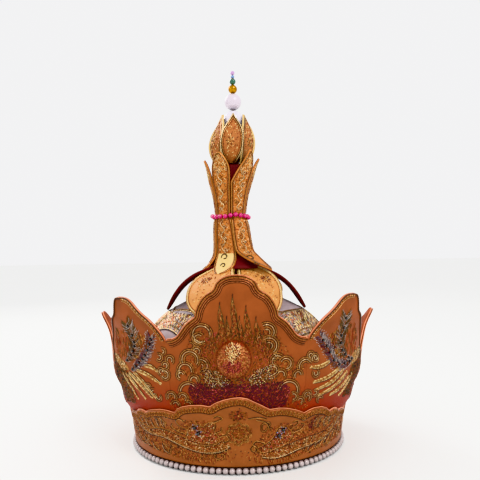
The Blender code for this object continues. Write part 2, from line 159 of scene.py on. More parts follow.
# The core: radii and heights over its foot. Its cloth spreads into a tent over the roots of
# the base petals: radii and heights over the tent's own foot.
CORE_FLANGE = ((1, 0), (14.6, 0), (15.8, 0.5), (15.9, 1.8), (14.2, 6))
TENT_FOOT = 157.4
TENT = ((12.6, 4.8), (27, 0), (27.4, 0.7), (23.6, 3.8), (19.4, 9.2), (14.4, 14))

# Petals of the spire: radius, height and half width in degrees, from the lower end up.
HALF_PETAL = 30.0
BASE_PETAL = (
    (65.2, 120, 3.9), (61.6, 125.3, 14.1), (56.5, 133, 23.1), (49.8, 141.1, 27.3),
    (41.6, 147.9, 27.9), (30.8, 153.6, 27.3), (13.9, 160.5, 27))

# Base petals that aren't like the others: how far they lift, and the shares of the width of
# their outer edge from the lower end up, on the side that points along the angle or against.
WHOLE = (1, 1, 1, 1)
BASE_SHAPES = {
    0: (5.0, (0.6, 0.62, 0.8, 1.0), 1),
    1: (5.6, WHOLE, 1),
    4: (6.5, WHOLE, 1),
    5: (3.0, (0.85, 0.82, 0.94, 1.0), -1),
}
MAROON_EDGED = (1, 4)

# Lower and upper half of a stem petal: shares of the way from the waist and of the reach,
# then the half width as a share of half the petals' spacing.
STEM_LOWER = (
    (0.15, 0.08, 0.945), (0.59, 0.165, 0.945), (0.76, 0.345, 0.87), (0.885, 0.59, 0.63),
    (0.96, 0.82, 0.37), (1, 1, 0.12))
STEM_UPPER = (
    (0.15, 0.03, 0.945), (0.38, 0.2, 0.945), (0.61, 0.49, 0.95), (0.76, 0.65, 0.86),
    (0.9, 0.82, 0.56), (1, 1, 0.16))
WAIST_RADIUS, WAIST_HEIGHT, WAIST_WIDTH = 14.5, 205.8, 28.4

# Stem petals from the front right round: reach and height of the lower tip, then of the
# upper tip, how far each tip swings sideways in degrees, how much of each end is cut away on
# its left, and how far the right edge bulges below the waist in degrees.
STEM_PETALS = (
    (49, 156.5, 28, 264.5, (8, 7), (0.8, 0.45), 0), (41, 151, 26.5, 260, (0, 0), (0, 0), 0),
    (42, 152.5, 27, 263, (0, 0), (0, 0), 0), (43, 153, 26, 262, (0, 0), (0, 0), 0),
    (41, 151, 26, 259, (0, 0), (0, 0), 0), (33.5, 152.5, 25, 263, (0, 0), (0, 0), 9))
TURNED_OVER = 5

# Bud petals: shares of the rise and of the radius, then of half the petals' spacing.
BUD_PETAL = (
    (0, 0.595, 0.6), (0.11, 0.8, 0.86), (0.24, 0.945, 0.97), (0.4, 1, 1), (0.57, 0.945, 0.99),
    (0.72, 0.82, 0.86), (0.84, 0.69, 0.6), (0.94, 0.58, 0.27), (1, 0.535, 0.1))
BUD_RADIUS, BUD_FOOT, BUD_RISE, BUD_THICKNESS = 21.3, 254.0, 47.0, 1.5

# The soft stem bows to one side between its foot and the beads: height and shift.
STEM_BOW = (
    (150, 0), (165, -0.8), (185, -2.6), (206, -4), (235, -3.6), (254, -2.6), (272, -1.7),
    (290, 0))

# Beads of the finial: node, finish, material slot.
FINIAL = (
    ("bud_ball", "acrylic", "white_ball"),
    ("top_pearl", "lilac_shell", "pearl"),
    ("gold_bead", "plated", "gold_bead"),
    ("green_bead", "green", "green_bead"),
    ("blue_bead", "blue", "blue_bead"),
    ("lilac_bead", "lilac", "lilac_bead"),
)

# Cloud heads on the panels that the photograph doesn't show: angle, height, size, turn.
SIDE_CLOUDS = (
    (-14, 64, 4.6, 30), (14, 64, 4.6, -30), (-8.6, 60, 3.4, 80), (8.6, 60, 3.4, -80),
    (-16, 72, 3.6, 0), (16, 72, 3.6, 0))

# Cloud arcs on the front panel: angle, height, radius, start and end in degrees, rings.
FRONT_ARCS = (
    (10.1, 112.8, 7.8, 118, -40, 4), (11.3, 102.1, 8.2, 125, -60, 4),
    (13.3, 94, 3.6, 100, -130, 2), (14.9, 90.3, 5.9, 40, 265, 3), (18.3, 87.9, 5.9, 160, -90, 3),
    (13.3, 83.4, 4.8, 120, -110, 3), (26.6, 84.6, 7.3, 200, 30, 3),
    (30.6, 89.6, 4.3, 235, -30, 2), (23.5, 78.3, 4.5, 225, -10, 2), (20, 66.1, 9.8, 165, -20, 2),
    (29.2, 60.9, 4.5, 210, -20, 2), (26.2, 57.1, 3.8, 170, -90, 2),
    (22.4, 61.5, 4.2, 120, -110, 2), (16.5, 79.9, 4.4, 170, -50, 2), (8, 108, 3.6, 250, 40, 2),
    (-12.2, 112, 8.3, -25, 300, 2), (-13.4, 108.4, 5, 40, 340, 3), (-17.5, 92, 8.3, 208, -40, 3),
    (-19.7, 83.4, 7, 215, -15, 2), (-21.7, 80.1, 3.9, 265, 0, 2), (-13.4, 87.7, 6.6, 108, -80, 4),
    (-11.7, 80.6, 5.6, 138, -60, 3), (-18.7, 66.4, 9.4, 178, 40, 2),
    (-28.8, 79.4, 4.8, 150, -160, 3), (-25.9, 91.1, 3.9, 215, -55, 2),
    (-28.7, 97.4, 3, 120, -120, 2), (-27.4, 61.6, 5, 220, -30, 3),
    (-22.1, 61.8, 4.6, 200, -70, 3), (-26.4, 54.9, 4.2, 190, -30, 2),
    (-20.4, 56.5, 3.8, 140, -110, 2), (-14.7, 98.7, 4.2, 170, -60, 2),
    (-17, 102.6, 3.2, 100, -140, 1), (-16.4, 76.6, 4.4, 200, -30, 2))

# Flames over the boss: angle and height of the foot, then of the tip, and width.
FLAMES = (
    (-5.6, 104.8, -4.9, 134, 8), (-1, 106.2, -0.8, 139.6, 8), (3.4, 106.4, 3.4, 131.4, 7.2),
    (7.2, 101.5, 6.6, 123.4, 7), (-3.2, 106, -2.8, 124, 5), (1.2, 106, 1.3, 124, 5),
    (-9, 98, -8.6, 116, 6.4), (10, 96, 9.4, 113, 6))

# Stitched grounds of the front panel: corners, spacing, threads, reach and width.
GROUND = (1.7, "bronze dark gold rust bronze", 1.5, 0.45)
SPARK = (0.85, "pale dark silver olive straw dark", 0.9, 0.6)
ZONES = (
    (((-14, 96), (-12, 107), (-8, 114), (8, 114), (12, 108), (14.6, 97), (13.6, 84), (14.2, 78),
      (-13.4, 78), (-13, 86)), 1.2, "olive bronze rust copper dark rose bronze", 1.7, 0.5),
    (((-20, 96), (-16, 114), (-10, 116), (-12, 78), (-22, 80)), *GROUND),
    (((7, 118), (14, 112), (21, 92), (27, 84), (22, 74), (13, 78), (10, 96)), *GROUND),
    (((-29.6, 66), (-19, 67), (-17, 50), (-30, 50)), *GROUND),
    (((19.6, 67), (31.4, 64), (30.4, 50), (19, 50)), *GROUND),
    (((-18, 74.5), (17.4, 74.5), (20.5, 69), (19.8, 55), (12, 51), (0, 58), (-12, 51),
      (-17.6, 56), (-19.4, 68)), 1.0, "plum " * 14 + "rust dark dark rose", 1.7, 0.85),
    (((-13, 87), (-8, 84), (-5, 79), (5, 79), (9, 85), (13.4, 88), (15, 76), (10, 70.5),
      (-10, 70.5), (-15.8, 75)), 1.15, "dark olive bronze plum", 1.4, 0.8),
    (((-11.4, 86), (-6, 83), (-2.6, 76.4), (-4, 71.6), (-10, 71.6), (-12.8, 77)), *SPARK),
    (((4, 77), (6.4, 84), (12.6, 88.4), (13.6, 78), (9, 73), (4.6, 73)), *SPARK),
)

# Each bird: its tail plumes, beads, long feathers, small rings, and patches of stitches.
BIRDS = (
    {
        "upright": (
            (-50.6, 85.5), (-47, 91), (-44.9, 94.8), (-43.5, 99.1), (-42.6, 108.3), (-43, 117)),
        "slanted": (
            (-47.4, 79), (-44.5, 82.7), (-42.2, 86.1), (-39.7, 89.5), (-37.9, 93), (-36, 97.4),
            (-34.6, 102.4), (-33, 108.5)),
        "beads": (
            (-42.8, 115.7), (-42.6, 108.3), (-43, 102.5), (-43.5, 99.1), (-44.9, 94.8),
            (-47, 91.1), (-50.4, 86.1), (-33.3, 106.5), (-34.6, 102.4), (-36, 97.4), (-37.9, 93),
            (-39.7, 89.5), (-42.2, 86.1), (-44.5, 82.7), (-46.9, 79.6)),
        "feathers": (
            (-50.5, 76.2, -38.1, 58.9), (-46.6, 77.4, -36, 59.6), (-44.2, 79.3, -31.6, 72),
            (-39.3, 84, -32.5, 81.4), (-53.6, 75, -43.4, 56.5), (-56.6, 74, -50, 54)),
        "rings": (
            (-38.3, 67.3), (-36, 63.7), (-34.1, 60), (-30.6, 92.8), (-28.2, 86.6), (-30.4, 81.4)),
        "barbs": ((-45.6, 112), (-53, 112), (-58.5, 100), (-60.5, 86), (-52, 87), (-46, 96)),
        "between": ((-41, 114), (-36, 106), (-39, 95), (-44, 88), (-47.5, 88.5), (-42.5, 98)),
        "body": ((-58, 88), (-52, 82), (-50, 78), (-55, 76.5), (-62, 82), (-63, 88)),
        "shade": ((-52, 78), (-51, 68), (-54, 48), (-67, 46), (-68, 82), (-63, 88), (-60, 80)),
    },
    {
        "upright": (
            (49.4, 86), (48.3, 88.6), (45.9, 92.5), (44.3, 99), (43.5, 105.2), (43.5, 111.4),
            (42.4, 121)),
        "slanted": (
            (55.5, 84.6), (52.8, 81.5), (48.6, 80.6), (44.9, 81.5), (41.3, 85.7), (38.4, 92.9),
            (36.2, 98.2), (33.7, 103.4), (31.6, 107)),
        "beads": (
            (42.4, 119.2), (43.5, 111.4), (43.5, 105.2), (44.3, 99), (45.9, 92.5), (48.3, 88.6),
            (33.7, 103.4), (36.2, 98.2), (38.4, 92.9), (41.3, 85.7), (44.9, 81.5), (48.8, 81.2),
            (52.8, 81.5), (54.5, 83.5), (51.4, 85.2)),
        "feathers": (
            (38.9, 85.6, 29.2, 83.3), (45.8, 78.8, 31.3, 71), (51.9, 73.5, 35.7, 58.9),
            (54.9, 69.1, 43, 57.3), (48.6, 76.4, 33.4, 64.4), (57.6, 70, 51, 54)),
        "rings": ((28.6, 92.4), (31.3, 90.2), (31.8, 78), (33, 61.5), (29.8, 58.6), (36.8, 55.2)),
        "barbs": ((46.6, 114), (53, 112), (58.5, 100), (59.5, 87), (52, 88), (46.6, 97)),
        "between": ((41.4, 114), (36.6, 106), (40, 95), (43.6, 86), (47.4, 87.5), (42.6, 99)),
        "body": ((57, 89), (53, 83), (55, 78), (60, 79), (66, 84), (64, 91)),
        "shade": ((56, 78), (54, 68), (56, 50), (67, 48), (70, 84), (66, 90), (62, 80)),
    },
)

# Each dragon: the line of its body, half of its width, the side that its back is on, the
# outline of its head, single threads, leaves, claws and the haze of stitches round it.
DRAGONS = (
    {
        "body": (
            (-62, 33), (-57, 29), (-51.6, 27), (-46, 26.6), (-40, 28), (-34.5, 27.4), (-29.3, 25),
            (-23.7, 22.4), (-17.9, 20.6), (-12.4, 20.6), (-8, 22.4), (-5, 25.8)),
        "width": 3.4,
        "back": 1,
        "haze": (
            (-68, 14), (-68, 35), (-52, 40), (-40, 43), (-33, 36), (-26, 34), (-24, 43),
            (-12, 44.5), (-6.4, 34), (-4.6, 22), (-8, 13), (-22, 9.5), (-40, 11)),
        "head": (
            (-24.6, 29.5), (-22.1, 36.8), (-18.1, 40.6), (-15.5, 38.9), (-12.4, 43), (-9.9, 41.6),
            (-10.7, 35.4), (-8.5, 29.1), (-10.5, 24.3), (-17.9, 23), (-23.6, 24.8)),
        "eyes": ((-19.4, 37.4), (-18.2, 32.4)),
        "threads": (
            ((-13, 41), (-9, 43.6), (-6.4, 46.6), (-8.4, 49), (-10.4, 47)),
            ((-22, 34), (-26.6, 37), (-28, 41), (-26, 43.4), (-24.2, 41)),
            ((-24.6, 31), (-29, 32.4), (-31.6, 35.6), (-30.2, 38.4)),
            ((-9.4, 29.4), (-5.6, 31.4), (-4.6, 28), (-6.6, 26.4)),
            ((-10.4, 33), (-7.4, 35.6), (-7, 39))),
        "strokes": (
            ((-48.9, 37.7), (-47.2, 29.9)), ((-43.9, 39.6), (-42.4, 30.1)),
            ((-39.1, 41.3), (-39, 31.5)), ((-36.1, 40.3), (-36.1, 32.7)),
            ((-53, 36), (-51, 29.6)), ((-57, 34.4), (-55.4, 30.4)),
            ((-62.4, 25.2), (-57.1, 15.6)), ((-61.6, 18.9), (-52.6, 13.5)),
            ((-46.8, 18.7), (-41.7, 12.3)), ((-39.2, 19.7), (-35.4, 12.2)),
            ((-67, 31), (-62, 19)), ((-54, 21), (-48, 13.6))),
        "claws": (
            (-30, 18), (-22, 15.6), (-10, 14), (-4, 20), (-4, 16), (-12, 9.6), (-24, 10),
            (-31, 13.4)),
    },
    {
        "body": (
            (62, 33), (57, 28.6), (51.4, 24.6), (46, 22), (40, 20.6), (33.6, 20.4), (28, 19),
            (22, 16.6), (16.6, 15.4), (11, 17)),
        "width": 3.7,
        "back": -1,
        "haze": (
            (68, 14), (68, 34), (52, 37), (40, 43), (33, 38), (27, 36), (20, 40), (12, 34),
            (7.4, 24), (6.6, 14), (22, 9.5), (40, 10.5)),
        "head": (
            (22.6, 35.2), (25.6, 28.9), (22.6, 22.2), (17.4, 19.3), (11.1, 17.1), (8.6, 20.6),
            (12.8, 24.3), (16, 29), (18.1, 36)),
        "eyes": ((20.4, 33.9), (18.6, 29.6)),
        "threads": (
            ((7.4, 44.5), (9.4, 43.4), (11.4, 42), (13, 38.3), (14, 34.1)),
            ((24, 33), (27.6, 37), (26.6, 40.6), (24.4, 39.4)),
            ((25.6, 29.6), (30.4, 32), (31.4, 36), (29.2, 37.6)),
            ((12, 24.6), (8, 26.6), (6.4, 23.6), (8.2, 22.2)),
            ((4, 45.6), (8.4, 46.4), (12, 44.6))),
        "strokes": (
            ((42.4, 39.6), (41.2, 29.4)), ((46.8, 37), (45.2, 28.6)), ((51, 36.4), (49.4, 28.4)),
            ((55.6, 34.6), (53.6, 29)), ((45.4, 17.6), (39.4, 12.6)),
            ((39.8, 17.4), (34.6, 11.4)), ((51.6, 19.4), (46, 12.8)), ((58, 22), (53.4, 14.4)),
            ((64, 28), (60, 18)), ((38.8, 38.6), (38.6, 30.6))),
        "claws": (
            (30, 14), (22, 12.6), (10, 13), (5, 16), (4, 12), (12, 9.6), (24, 9), (31, 10.4)),
    },
)

# Cloud heads on the band: angle, height, size, turn.
BAND_CLOUDS = (
    (-60, 34, 5, 30), (-52, 20, 4.6, 200), (-38, 37.6, 4.6, -20), (-63, 18, 4.4, 120),
    (-36, 16, 4, 200), (-9, 16, 3.8, 150), (60, 32, 5, -30), (48, 31, 4.6, 20),
    (38, 34, 4.6, -20), (62, 17, 4.4, 200), (50, 15, 4, 160), (12, 38, 3.6, 60),
) + tuple((72 + 12 * k, 23 + 4 * (-1) ** k, 5.4, 180 * (k % 2)) for k in range(19))

# Curls on the band: angle, height, radius, turns, angle where it ends, hand.
BAND_CURLS = (
    (-6, 20, 2.6, 1.4, 200, 1), (7, 20, 2.6, 1.4, -20, -1), (-33, 44, 2.4, 1.4, 90, 1),
    (30, 41.4, 2.4, 1.4, 90, -1), (42.6, 15, 2.6, 1.5, 0, 1), (-58, 38, 2.2, 1.4, 0, 1),
    (-70, 26, 3.6, 1.7, 0, 1), (70, 24, 3.6, 1.7, 180, -1))

# The medallion between the dragons, the crest over it, the crescent and the dust of stitches.
MEDAL, CREST = (0.2, 33.4), (0.2, 49.0)
CRESCENT = ((39, 41.6), (36, 40.4), (34, 36), (35, 31), (38.4, 27.4), (37.2, 32), (36.8, 36))
DUST = ((-66, 12), (-66, 34), (-28, 42), (0, 24), (28, 38), (60, 32), (60, 14), (0, 10))

# The stage, in metres: lights (name, place, aim, width, watts), and the camera that the
# photograph's outlines and its row of pearls give.
FLOOR_SIZE, FLOOR_TINT = 60.0, "F4F4F2"
SKY, SKY_STRENGTH = "FBFBFC", 1.15
LIGHTS = (
    ("key", (0.6, -1.0, 1.1), (0.0, 0.0, 0.15), 0.6, 10.6),
    ("fill", (-1.1, -0.8, 0.6), (0.0, 0.0, 0.15), 0.8, 1.8),
    ("rim", (-0.8, 0.8, 1.0), (0.0, 0.0, 0.2), 0.6, 10.0),
)
LENS = {"sensor_width": 36.0, "lens": 41.445, "shift_x": 0.009375, "shift_y": 0.03896}
CAMERA_PLACE = (0.0, -0.520, 0.1665)
CAMERA_TURN = (90.0, 0.95, 0.0)


def linear(code):
    """Linear RGB of an sRGB hex colour."""
    channels = (int(code[i:i + 2], 16) / 255.0 for i in (0, 2, 4))
    return [c / 12.92 if c <= 0.04045 else ((c + 0.055) / 1.055) ** 2.4 for c in channels]


def colour(label, code, words):
    return bpy.props.FloatVectorProperty(name=label, description=words, subtype="COLOR", size=3,
                                         min=0.0, max=1.0, default=linear(code))


def length(label, size, words):
    return bpy.props.FloatProperty(name=label, description=words, unit="LENGTH", min=0.0001,
                                   soft_max=0.02, default=size * MM)


def number(label, count, low, high, words):
    return bpy.props.IntProperty(name=label, description=words, min=low, max=high, default=count)


class CrownSizes(bpy.types.PropertyGroup):
    """Sizes that a maker would change."""

    panel_thickness: length("Panel thickness", 3.0, "Thickness of the padded panels")
    band_thickness: length("Band thickness", 2.0, "Thickness of the brim band")
    petal_thickness: length("Petal thickness", 1.8, "Thickness of the petals of the spire")
    cord: length("Edging cord", 1.5, "Diameter of the twisted cord along the panels' edges")
    pearl: length("Rim pearl", 5.1, "Diameter of the pearls along the rim")
    pearl_count: number("Rim pearls", 115, 20, 200, "Number of pearls along the rim")
    waist_count: number("Waist beads", 22, 10, 60, "Number of beads round the waist")


class CrownColours(bpy.types.PropertyGroup):
    """Colours of the cloth, the threads and the beads."""

    panel: colour("Panel satin", "8B4A29", "Burnt orange satin of the panels")
    # Painted shade: the darker red that the panels' satin takes in the shadow near the band.
    panel_foot: colour("Panel foot", "862204", "Red that the panels' satin turns to at their feet")
    band: colour("Band satin", "915531", "Amber satin of the band")
    petal: colour("Petal satin", "D19254", "Light orange satin of the base petals")
    stem: colour("Stem satin", "C47C42", "Amber satin of the stem petals")
    bud: colour("Bud satin", "AA6A3E", "Amber satin of the bud petals")
    straw: colour("Straw satin", "F6D48A", "Straw satin of the petals' free ends")
    cap: colour("Cap satin", "AA989A", "Grey lilac satin of the dome")
    lining: colour("Lining", "641A1C", "Maroon cloth behind the petals")
    facing: colour("Panel lining", "9A4E30", "Salmon brown cloth behind the panels")
    # Partly a painted highlight: salmon piping, made pale where the padded edges catch the light
    # from above.
    piping: colour("Piping", "DE8E6C", "Salmon edge of the padded cloth")
    gold: colour("Gold thread", "C48E58", "Gold wrapped thread")
    pale_gold: colour("Pale gold thread", "E4C492", "Silver gilt thread")
    bronze: colour("Bronze thread", "7E4C2A", "Bronze wrapped thread")
    copper: colour("Copper thread", "B8704C", "Copper wrapped thread")
    olive: colour("Olive thread", "6C583E", "Grey brown gold thread")
    dark: colour("Outline thread", "280D05", "Dark brown outline thread")
    rust: colour("Rust silk", "7A2A10", "Rust red silk")
    sky: colour("Blue silk", "8FA0C8", "Pale blue silk")
    violet: colour("Violet silk", "5E4A50", "Violet silk")
    plum: colour("Plum silk", "4E0518", "Plum silk")
    rose: colour("Rose silk", "A84A44", "Rose silk")
    pale_silk: colour("Pale silk", "F0D08A", "Straw yellow silk")
    silver: colour("Silver thread", "BEAEA4", "Silver thread")
    magenta: colour("Magenta beads", "C4106A", "Glass beads of the waist")
    pearl: colour("Pearls", "B0A09E", "Pearls")


def add_node(tree, kind, sockets=None, **settings):
    """Add a shader node with its properties, and set or link its sockets by name."""
    made = tree.nodes.new("ShaderNode" + kind)
    for name, value in settings.items():
        setattr(made, name, value)
    for name, value in (sockets or {}).items():
        if isinstance(value, bpy.types.NodeSocket):
            tree.links.new(value, made.inputs[name])
        else:
            made.inputs[name].default_value = value
    return made


def shade_of(tint, factor):
    """A colour made darker or lighter, with full opacity."""
    return (*(min(1.0, channel * factor) for channel in tint), 1.0)


class Finish:
    """A material whose colour drifts between two shades over patches of a real size in mm.

    Its makers add what their cloth, thread or bead needs besides.
    """

    def __init__(self, name, space, tint, patch, low, high, sockets):
        self.material = bpy.data.materials.new(name)
        self.material.use_nodes = True
        self.tree = self.material.node_tree
        self.shader = self.tree.nodes["Principled BSDF"]
        for socket, value in sockets.items():
            self.shader.inputs[socket].default_value = value
        self.vector = self.node("TexCoord").outputs[space]
        noise = self.node("TexNoise", {"Vector": self.vector, "Detail": 3.0,
                                       "Scale": 1.0 / (patch * MM)})
        ramp = self.node("ValToRGB", {"Fac": noise.outputs["Fac"]})
        for stop, place, factor in zip(ramp.color_ramp.elements, (0.32, 0.68), (low, high)):
            stop.position = place
            stop.color = shade_of(tint, factor)
        self.drift = ramp.outputs["Color"]
        self.plug(self.drift, "Base Color")

    def node(self, kind, sockets=None, **settings):
        return add_node(self.tree, kind, sockets, **settings)

    def plug(self, output, socket):
        self.tree.links.new(output, self.shader.inputs[socket])

    def tint_where(self, level, low, high, other):
        """Another colour where a level is under low, blending into the drift up to high."""
        share = self.node("MapRange", {"Value": level, "From Min": low, "From Max": high})
        blend = self.node("MixRGB", {"Fac": share.outputs[0], "Color1": other,
                                     "Color2": self.drift})
        self.plug(blend.outputs["Color"], "Base Color")

    def grain(self, height, strength):
        """A weave 0.1 mm high from the pattern of a node."""
        bump = self.node("Bump", {"Height": height, "Strength": strength, "Distance": 0.1 * MM})
        self.plug(bump.outputs["Normal"], "Normal")


def satin(name, tint, patch=16.0, roughness=0.42, foot=None):
    """Polyester satin, woven with long warp floats that run up the cloth.

    The floats give a broad soft gleam, and the close weave shows as a faint upright rib. Real
    threads are 0.15 mm apart, too fine to show, so the rib is drawn 0.9 mm apart. A foot
    colour of painted shade comes in over the lowest 70 mm, for the darker red of the shadow
    near the band.
    """
    made = Finish(name, "UV", tint, patch, 0.84, 1.12, {
        "Roughness": roughness, "Specular IOR Level": 0.15, "Sheen Weight": 0.02,
        "Sheen Roughness": 0.4, "Sheen Tint": shade_of(tint, 2.2)})
    # Painted shade: the satin turns dark red towards its foot, for the shadow near the band.
    if foot:
        level = made.node("SeparateXYZ", {"Vector": made.vector}).outputs["Y"]
        painted_foot_shade = getattr(bpy.context.scene.crown_colours, foot)
        made.tint_where(level, 48.0 * MM, 78.0 * MM, shade_of(painted_foot_shade, 1.0))
    rib = made.node("TexWave", {
        "Vector": made.vector, "Scale": 0.314 / (0.9 * MM), "Distortion": 1.5, "Detail": 2.0,
        "Detail Scale": 1.5}, bands_direction="X")
    made.grain(rib.outputs["Fac"], 0.35)
    return made.material


def lining_cloth(name, tint):
    """Cotton lining, plain woven and matt: it gives no gleam, only a faint crossed grain.

    Real threads are 0.3 mm apart and are drawn 1.2 mm apart to show.
    """
    sockets = {"Roughness": 0.78, "Specular IOR Level": 0.25}
    made = Finish(name, "UV", tint, 12.0, 0.75, 1.2, sockets)
    weave = made.node("TexChecker", {"Vector": made.vector, "Scale": 1.0 / (1.2 * MM)})
    made.grain(weave.outputs["Fac"], 0.3)
    return made.material


def metal_thread(name, tint, low=0.55, high=1.25, roughness=0.3):
    """Metallised film wound on a cotton core: each turn glints, so the thread sparkles.

    The film's turns are 0.2 mm wide and are drawn 1 mm wide, as glints that show.
    """
    sockets = {"Metallic": 1.0, "Roughness": roughness}
    return Finish(name, "Object", tint, 1.0, low, high, sockets).material


def silk_thread(name, tint, low=0.6, high=1.5):
    """Floss silk, laid flat and untwisted: a soft gleam, with shades that change by strand.

    Strands are 0.3 mm wide and are drawn 1.2 mm wide.
    """
    sockets = {"Roughness": 0.42, "Specular IOR Level": 0.35, "Sheen Weight": 0.06}
    return Finish(name, "Object", tint, 1.2, low, high, sockets).material


def pearl_coat(name, tint, reach=5.0):
    """Shell pearl, dipped and buffed: a milky body under a clear coat, with a rosy bloom.

    Painted shade darkens the colour where other surfaces come within its reach, so the pearls
    look dark beside where they touch.
    """
    made = Finish(name, "Object", tint, 14.0, 0.92, 1.05, {
        "Roughness": 0.28, "Coat Weight": 1.0, "Coat Roughness": 0.05, "Specular IOR Level": 0.6})
    # Painted shade: the colour darkens where ambient occlusion finds other surfaces near.
    painted_shade_openness = made.node("AmbientOcclusion", {"Distance": reach * MM}).outputs["AO"]
    made.tint_where(painted_shade_openness, 0.25, 0.85, shade_of(tint, 0.25))
    return made.material


def glass_bead(name, tint, transmission=0.0):
    """Pressed glass bead, fire polished: deep colour with a small hard highlight."""
    sockets = {"Roughness": 0.08, "IOR": 1.5, "Transmission Weight": transmission,
               "Coat Weight": 0.6, "Coat Roughness": 0.04}
    return Finish(name, "Object", tint, 2.0, 0.8, 1.2, sockets).material


def plated_metal(name, tint):
    """Plated brass, tumbled bright: a mirror-like gleam with faint tumbling marks."""
    sockets = {"Metallic": 1.0, "Roughness": 0.16}
    return Finish(name, "Object", tint, 3.0, 0.8, 1.1, sockets).material


# Finishes: material, its maker, its colour setting or sRGB code, the maker's other settings.
FINISHES = {
    "panel": ("panel_satin", satin, "panel", 16.0, 0.52, "panel_foot"),
    "band": ("band_satin", satin, "band"),
    "petal": ("petal_satin", satin, "petal", 10.0),
    "stem": ("stem_satin", satin, "stem", 8.0, 0.62),
    "bud": ("bud_satin", satin, "bud", 8.0, 0.62),
    "cap": ("cap_satin", satin, "cap", 14.0, 0.5),
    "free_end": ("straw_satin", satin, "straw", 6.0),
    "core": ("core_satin", satin, "lining", 6.0, 0.55),
    "piping": ("piping_satin", satin, "piping", 8.0),
    "lining": ("cotton_lining", lining_cloth, "lining"),
    "facing": ("panel_lining", lining_cloth, "facing"),
    "gold": ("gold_thread", metal_thread, "gold"),
    "pale": ("pale_gold_thread", metal_thread, "pale_gold"),
    "bronze": ("bronze_thread", metal_thread, "bronze"),
    "copper": ("copper_thread", metal_thread, "copper"),
    "silver": ("silver_thread", metal_thread, "silver", 0.5, 1.2),
    "olive": ("olive_thread", metal_thread, "olive", 0.5, 1.4, 0.4),
    "dark": ("dark_silk", silk_thread, "dark"),
    "violet": ("violet_silk", silk_thread, "violet"),
    "plum": ("plum_silk", silk_thread, "plum"),
    "rose": ("rose_silk", silk_thread, "rose"),
    "rust": ("rust_silk", silk_thread, "rust"),
    "sky": ("sky_silk", silk_thread, "sky"),
    "straw": ("straw_silk", silk_thread, "pale_silk", 0.7, 1.2),
    "shell": ("shell_pearl", pearl_coat, "pearl"),
    "lilac_shell": ("lilac_pearl", pearl_coat, "#CABEC8", 16.0),
    "magenta": ("magenta_glass", glass_bead, "magenta"),
    "black": ("black_glass", glass_bead, "#0A0808"),
    "green": ("green_glass", glass_bead, "#145640"),
    "blue": ("blue_glass", glass_bead, "#6484B0"),
    "lilac": ("lilac_glass", glass_bead, "#B48EBA"),
    "acrylic": ("clear_acrylic", glass_bead, "#E8E2F0", 0.1),
    "plated": ("plated_gold", plated_metal, "#B27E20"),
}


def finish(word):
    """The material of that word, made the first time that it is asked for.

    The CAD's own materials have some of these names, so each one here gets a prefix.
    """
    name, maker, tint, *settings = FINISHES[word]
    name = "crown_" + name
    if name in bpy.data.materials:
        return bpy.data.materials[name]
    tones = bpy.context.scene.crown_colours
    return maker(name, linear(tint[1:]) if tint[0] == "#" else getattr(tones, tint), *settings)


def unit(vectors):
    return vectors / np.maximum(np.linalg.norm(vectors, axis=-1, keepdims=True), 1e-12)


def rays(turns):
    """Flat unit directions at angles in radians."""
    return np.stack([np.cos(turns), np.sin(turns)], -1)


def hoop(radius, turns, height):
    """Points about the hat's axis at angles in radians from its front."""
    return np.stack([radius * np.sin(turns), -radius * np.cos(turns), height + 0.0 * turns], -1)


def circle(count):
    return np.linspace(0.0, math.tau, count, endpoint=False)


def way_of(line):
    """How far along a line each of its points is."""
    return np.concatenate([[0.0], np.cumsum(np.linalg.norm(np.diff(line, axis=0), axis=1))])


def evenly(line, step=STEP):
    """The same line with points about a step apart."""
    way = way_of(line)
    marks = np.linspace(0.0, way[-1], max(2, int(round(way[-1] / step)) + 1))
    return np.stack([np.interp(marks, way, column) for column in line.T], axis=-1)


def smooth_line(points, step=STEP):
    """A smooth line through points, with a new point about every step."""
    points = np.asarray(points, float)
    padded = np.vstack([2 * points[0] - points[1], points, 2 * points[-1] - points[-2]])
    a, b, c, d = padded[:-3], padded[1:-2], padded[2:-1], padded[3:]
    t = np.linspace(0.0, 1.0, 12, endpoint=False)[:, None, None]
    dense = 0.5 * (2 * b + (c - a) * t + (2 * a - 5 * b + 4 * c - d) * t ** 2
                   + (3 * b - a - 3 * c + d) * t ** 3)
    dense = dense.transpose(1, 0, 2).reshape(-1, points.shape[1])
    return evenly(np.vstack([dense, padded[-2]]), step)


def sideways(line):
    """Unit directions to the left of a flat line at each point."""
    along = unit(np.gradient(line, axis=0))
    return np.stack([-along[:, 1], along[:, 0]], axis=-1)


def distance_to(points, line):
    """Distance of each flat point from a line."""
    start, end = line[:-1], line[1:]
    span = end - start
    size = np.maximum((span ** 2).sum(1), 1e-12)
    share = np.clip(((points[:, None] - start) * span).sum(2) / size, 0.0, 1.0)
    nearest = start + share[..., None] * span
    return np.linalg.norm(points[:, None] - nearest, axis=2).min(1)


def inset(line, distance, step=STEP):
    """A line moved to its left, without the parts that come too near to the first one."""
    moved = line + distance * sideways(line)
    return evenly(moved[distance_to(moved, line) > abs(distance) * 0.96], step)


def spiral(radius, turns, facing=0.0, hand=1.0, eye=0.12):
    """A flat spiral from its eye out to a radius, where it ends at an angle in degrees."""
    share = np.linspace(0.0, 1.0, int(turns * 20) + 2)
    reach = radius * (eye + (1.0 - eye) * share)
    turn = math.radians(facing) - hand * math.tau * turns * (1.0 - share)
    return reach[:, None] * rays(turn)


def inside(points, corners):
    """Which flat points lie inside a polygon."""
    x, y = points[:, 0:1], points[:, 1:2]
    x0, y0 = corners.T
    x1, y1 = np.roll(corners, -1, axis=0).T
    crosses = (y0 > y) != (y1 > y)
    level = np.where(y1 == y0, 1.0, y1 - y0)
    return (crosses & (x < (x1 - x0) * (y - y0) / level + x0)).sum(1) % 2 == 1


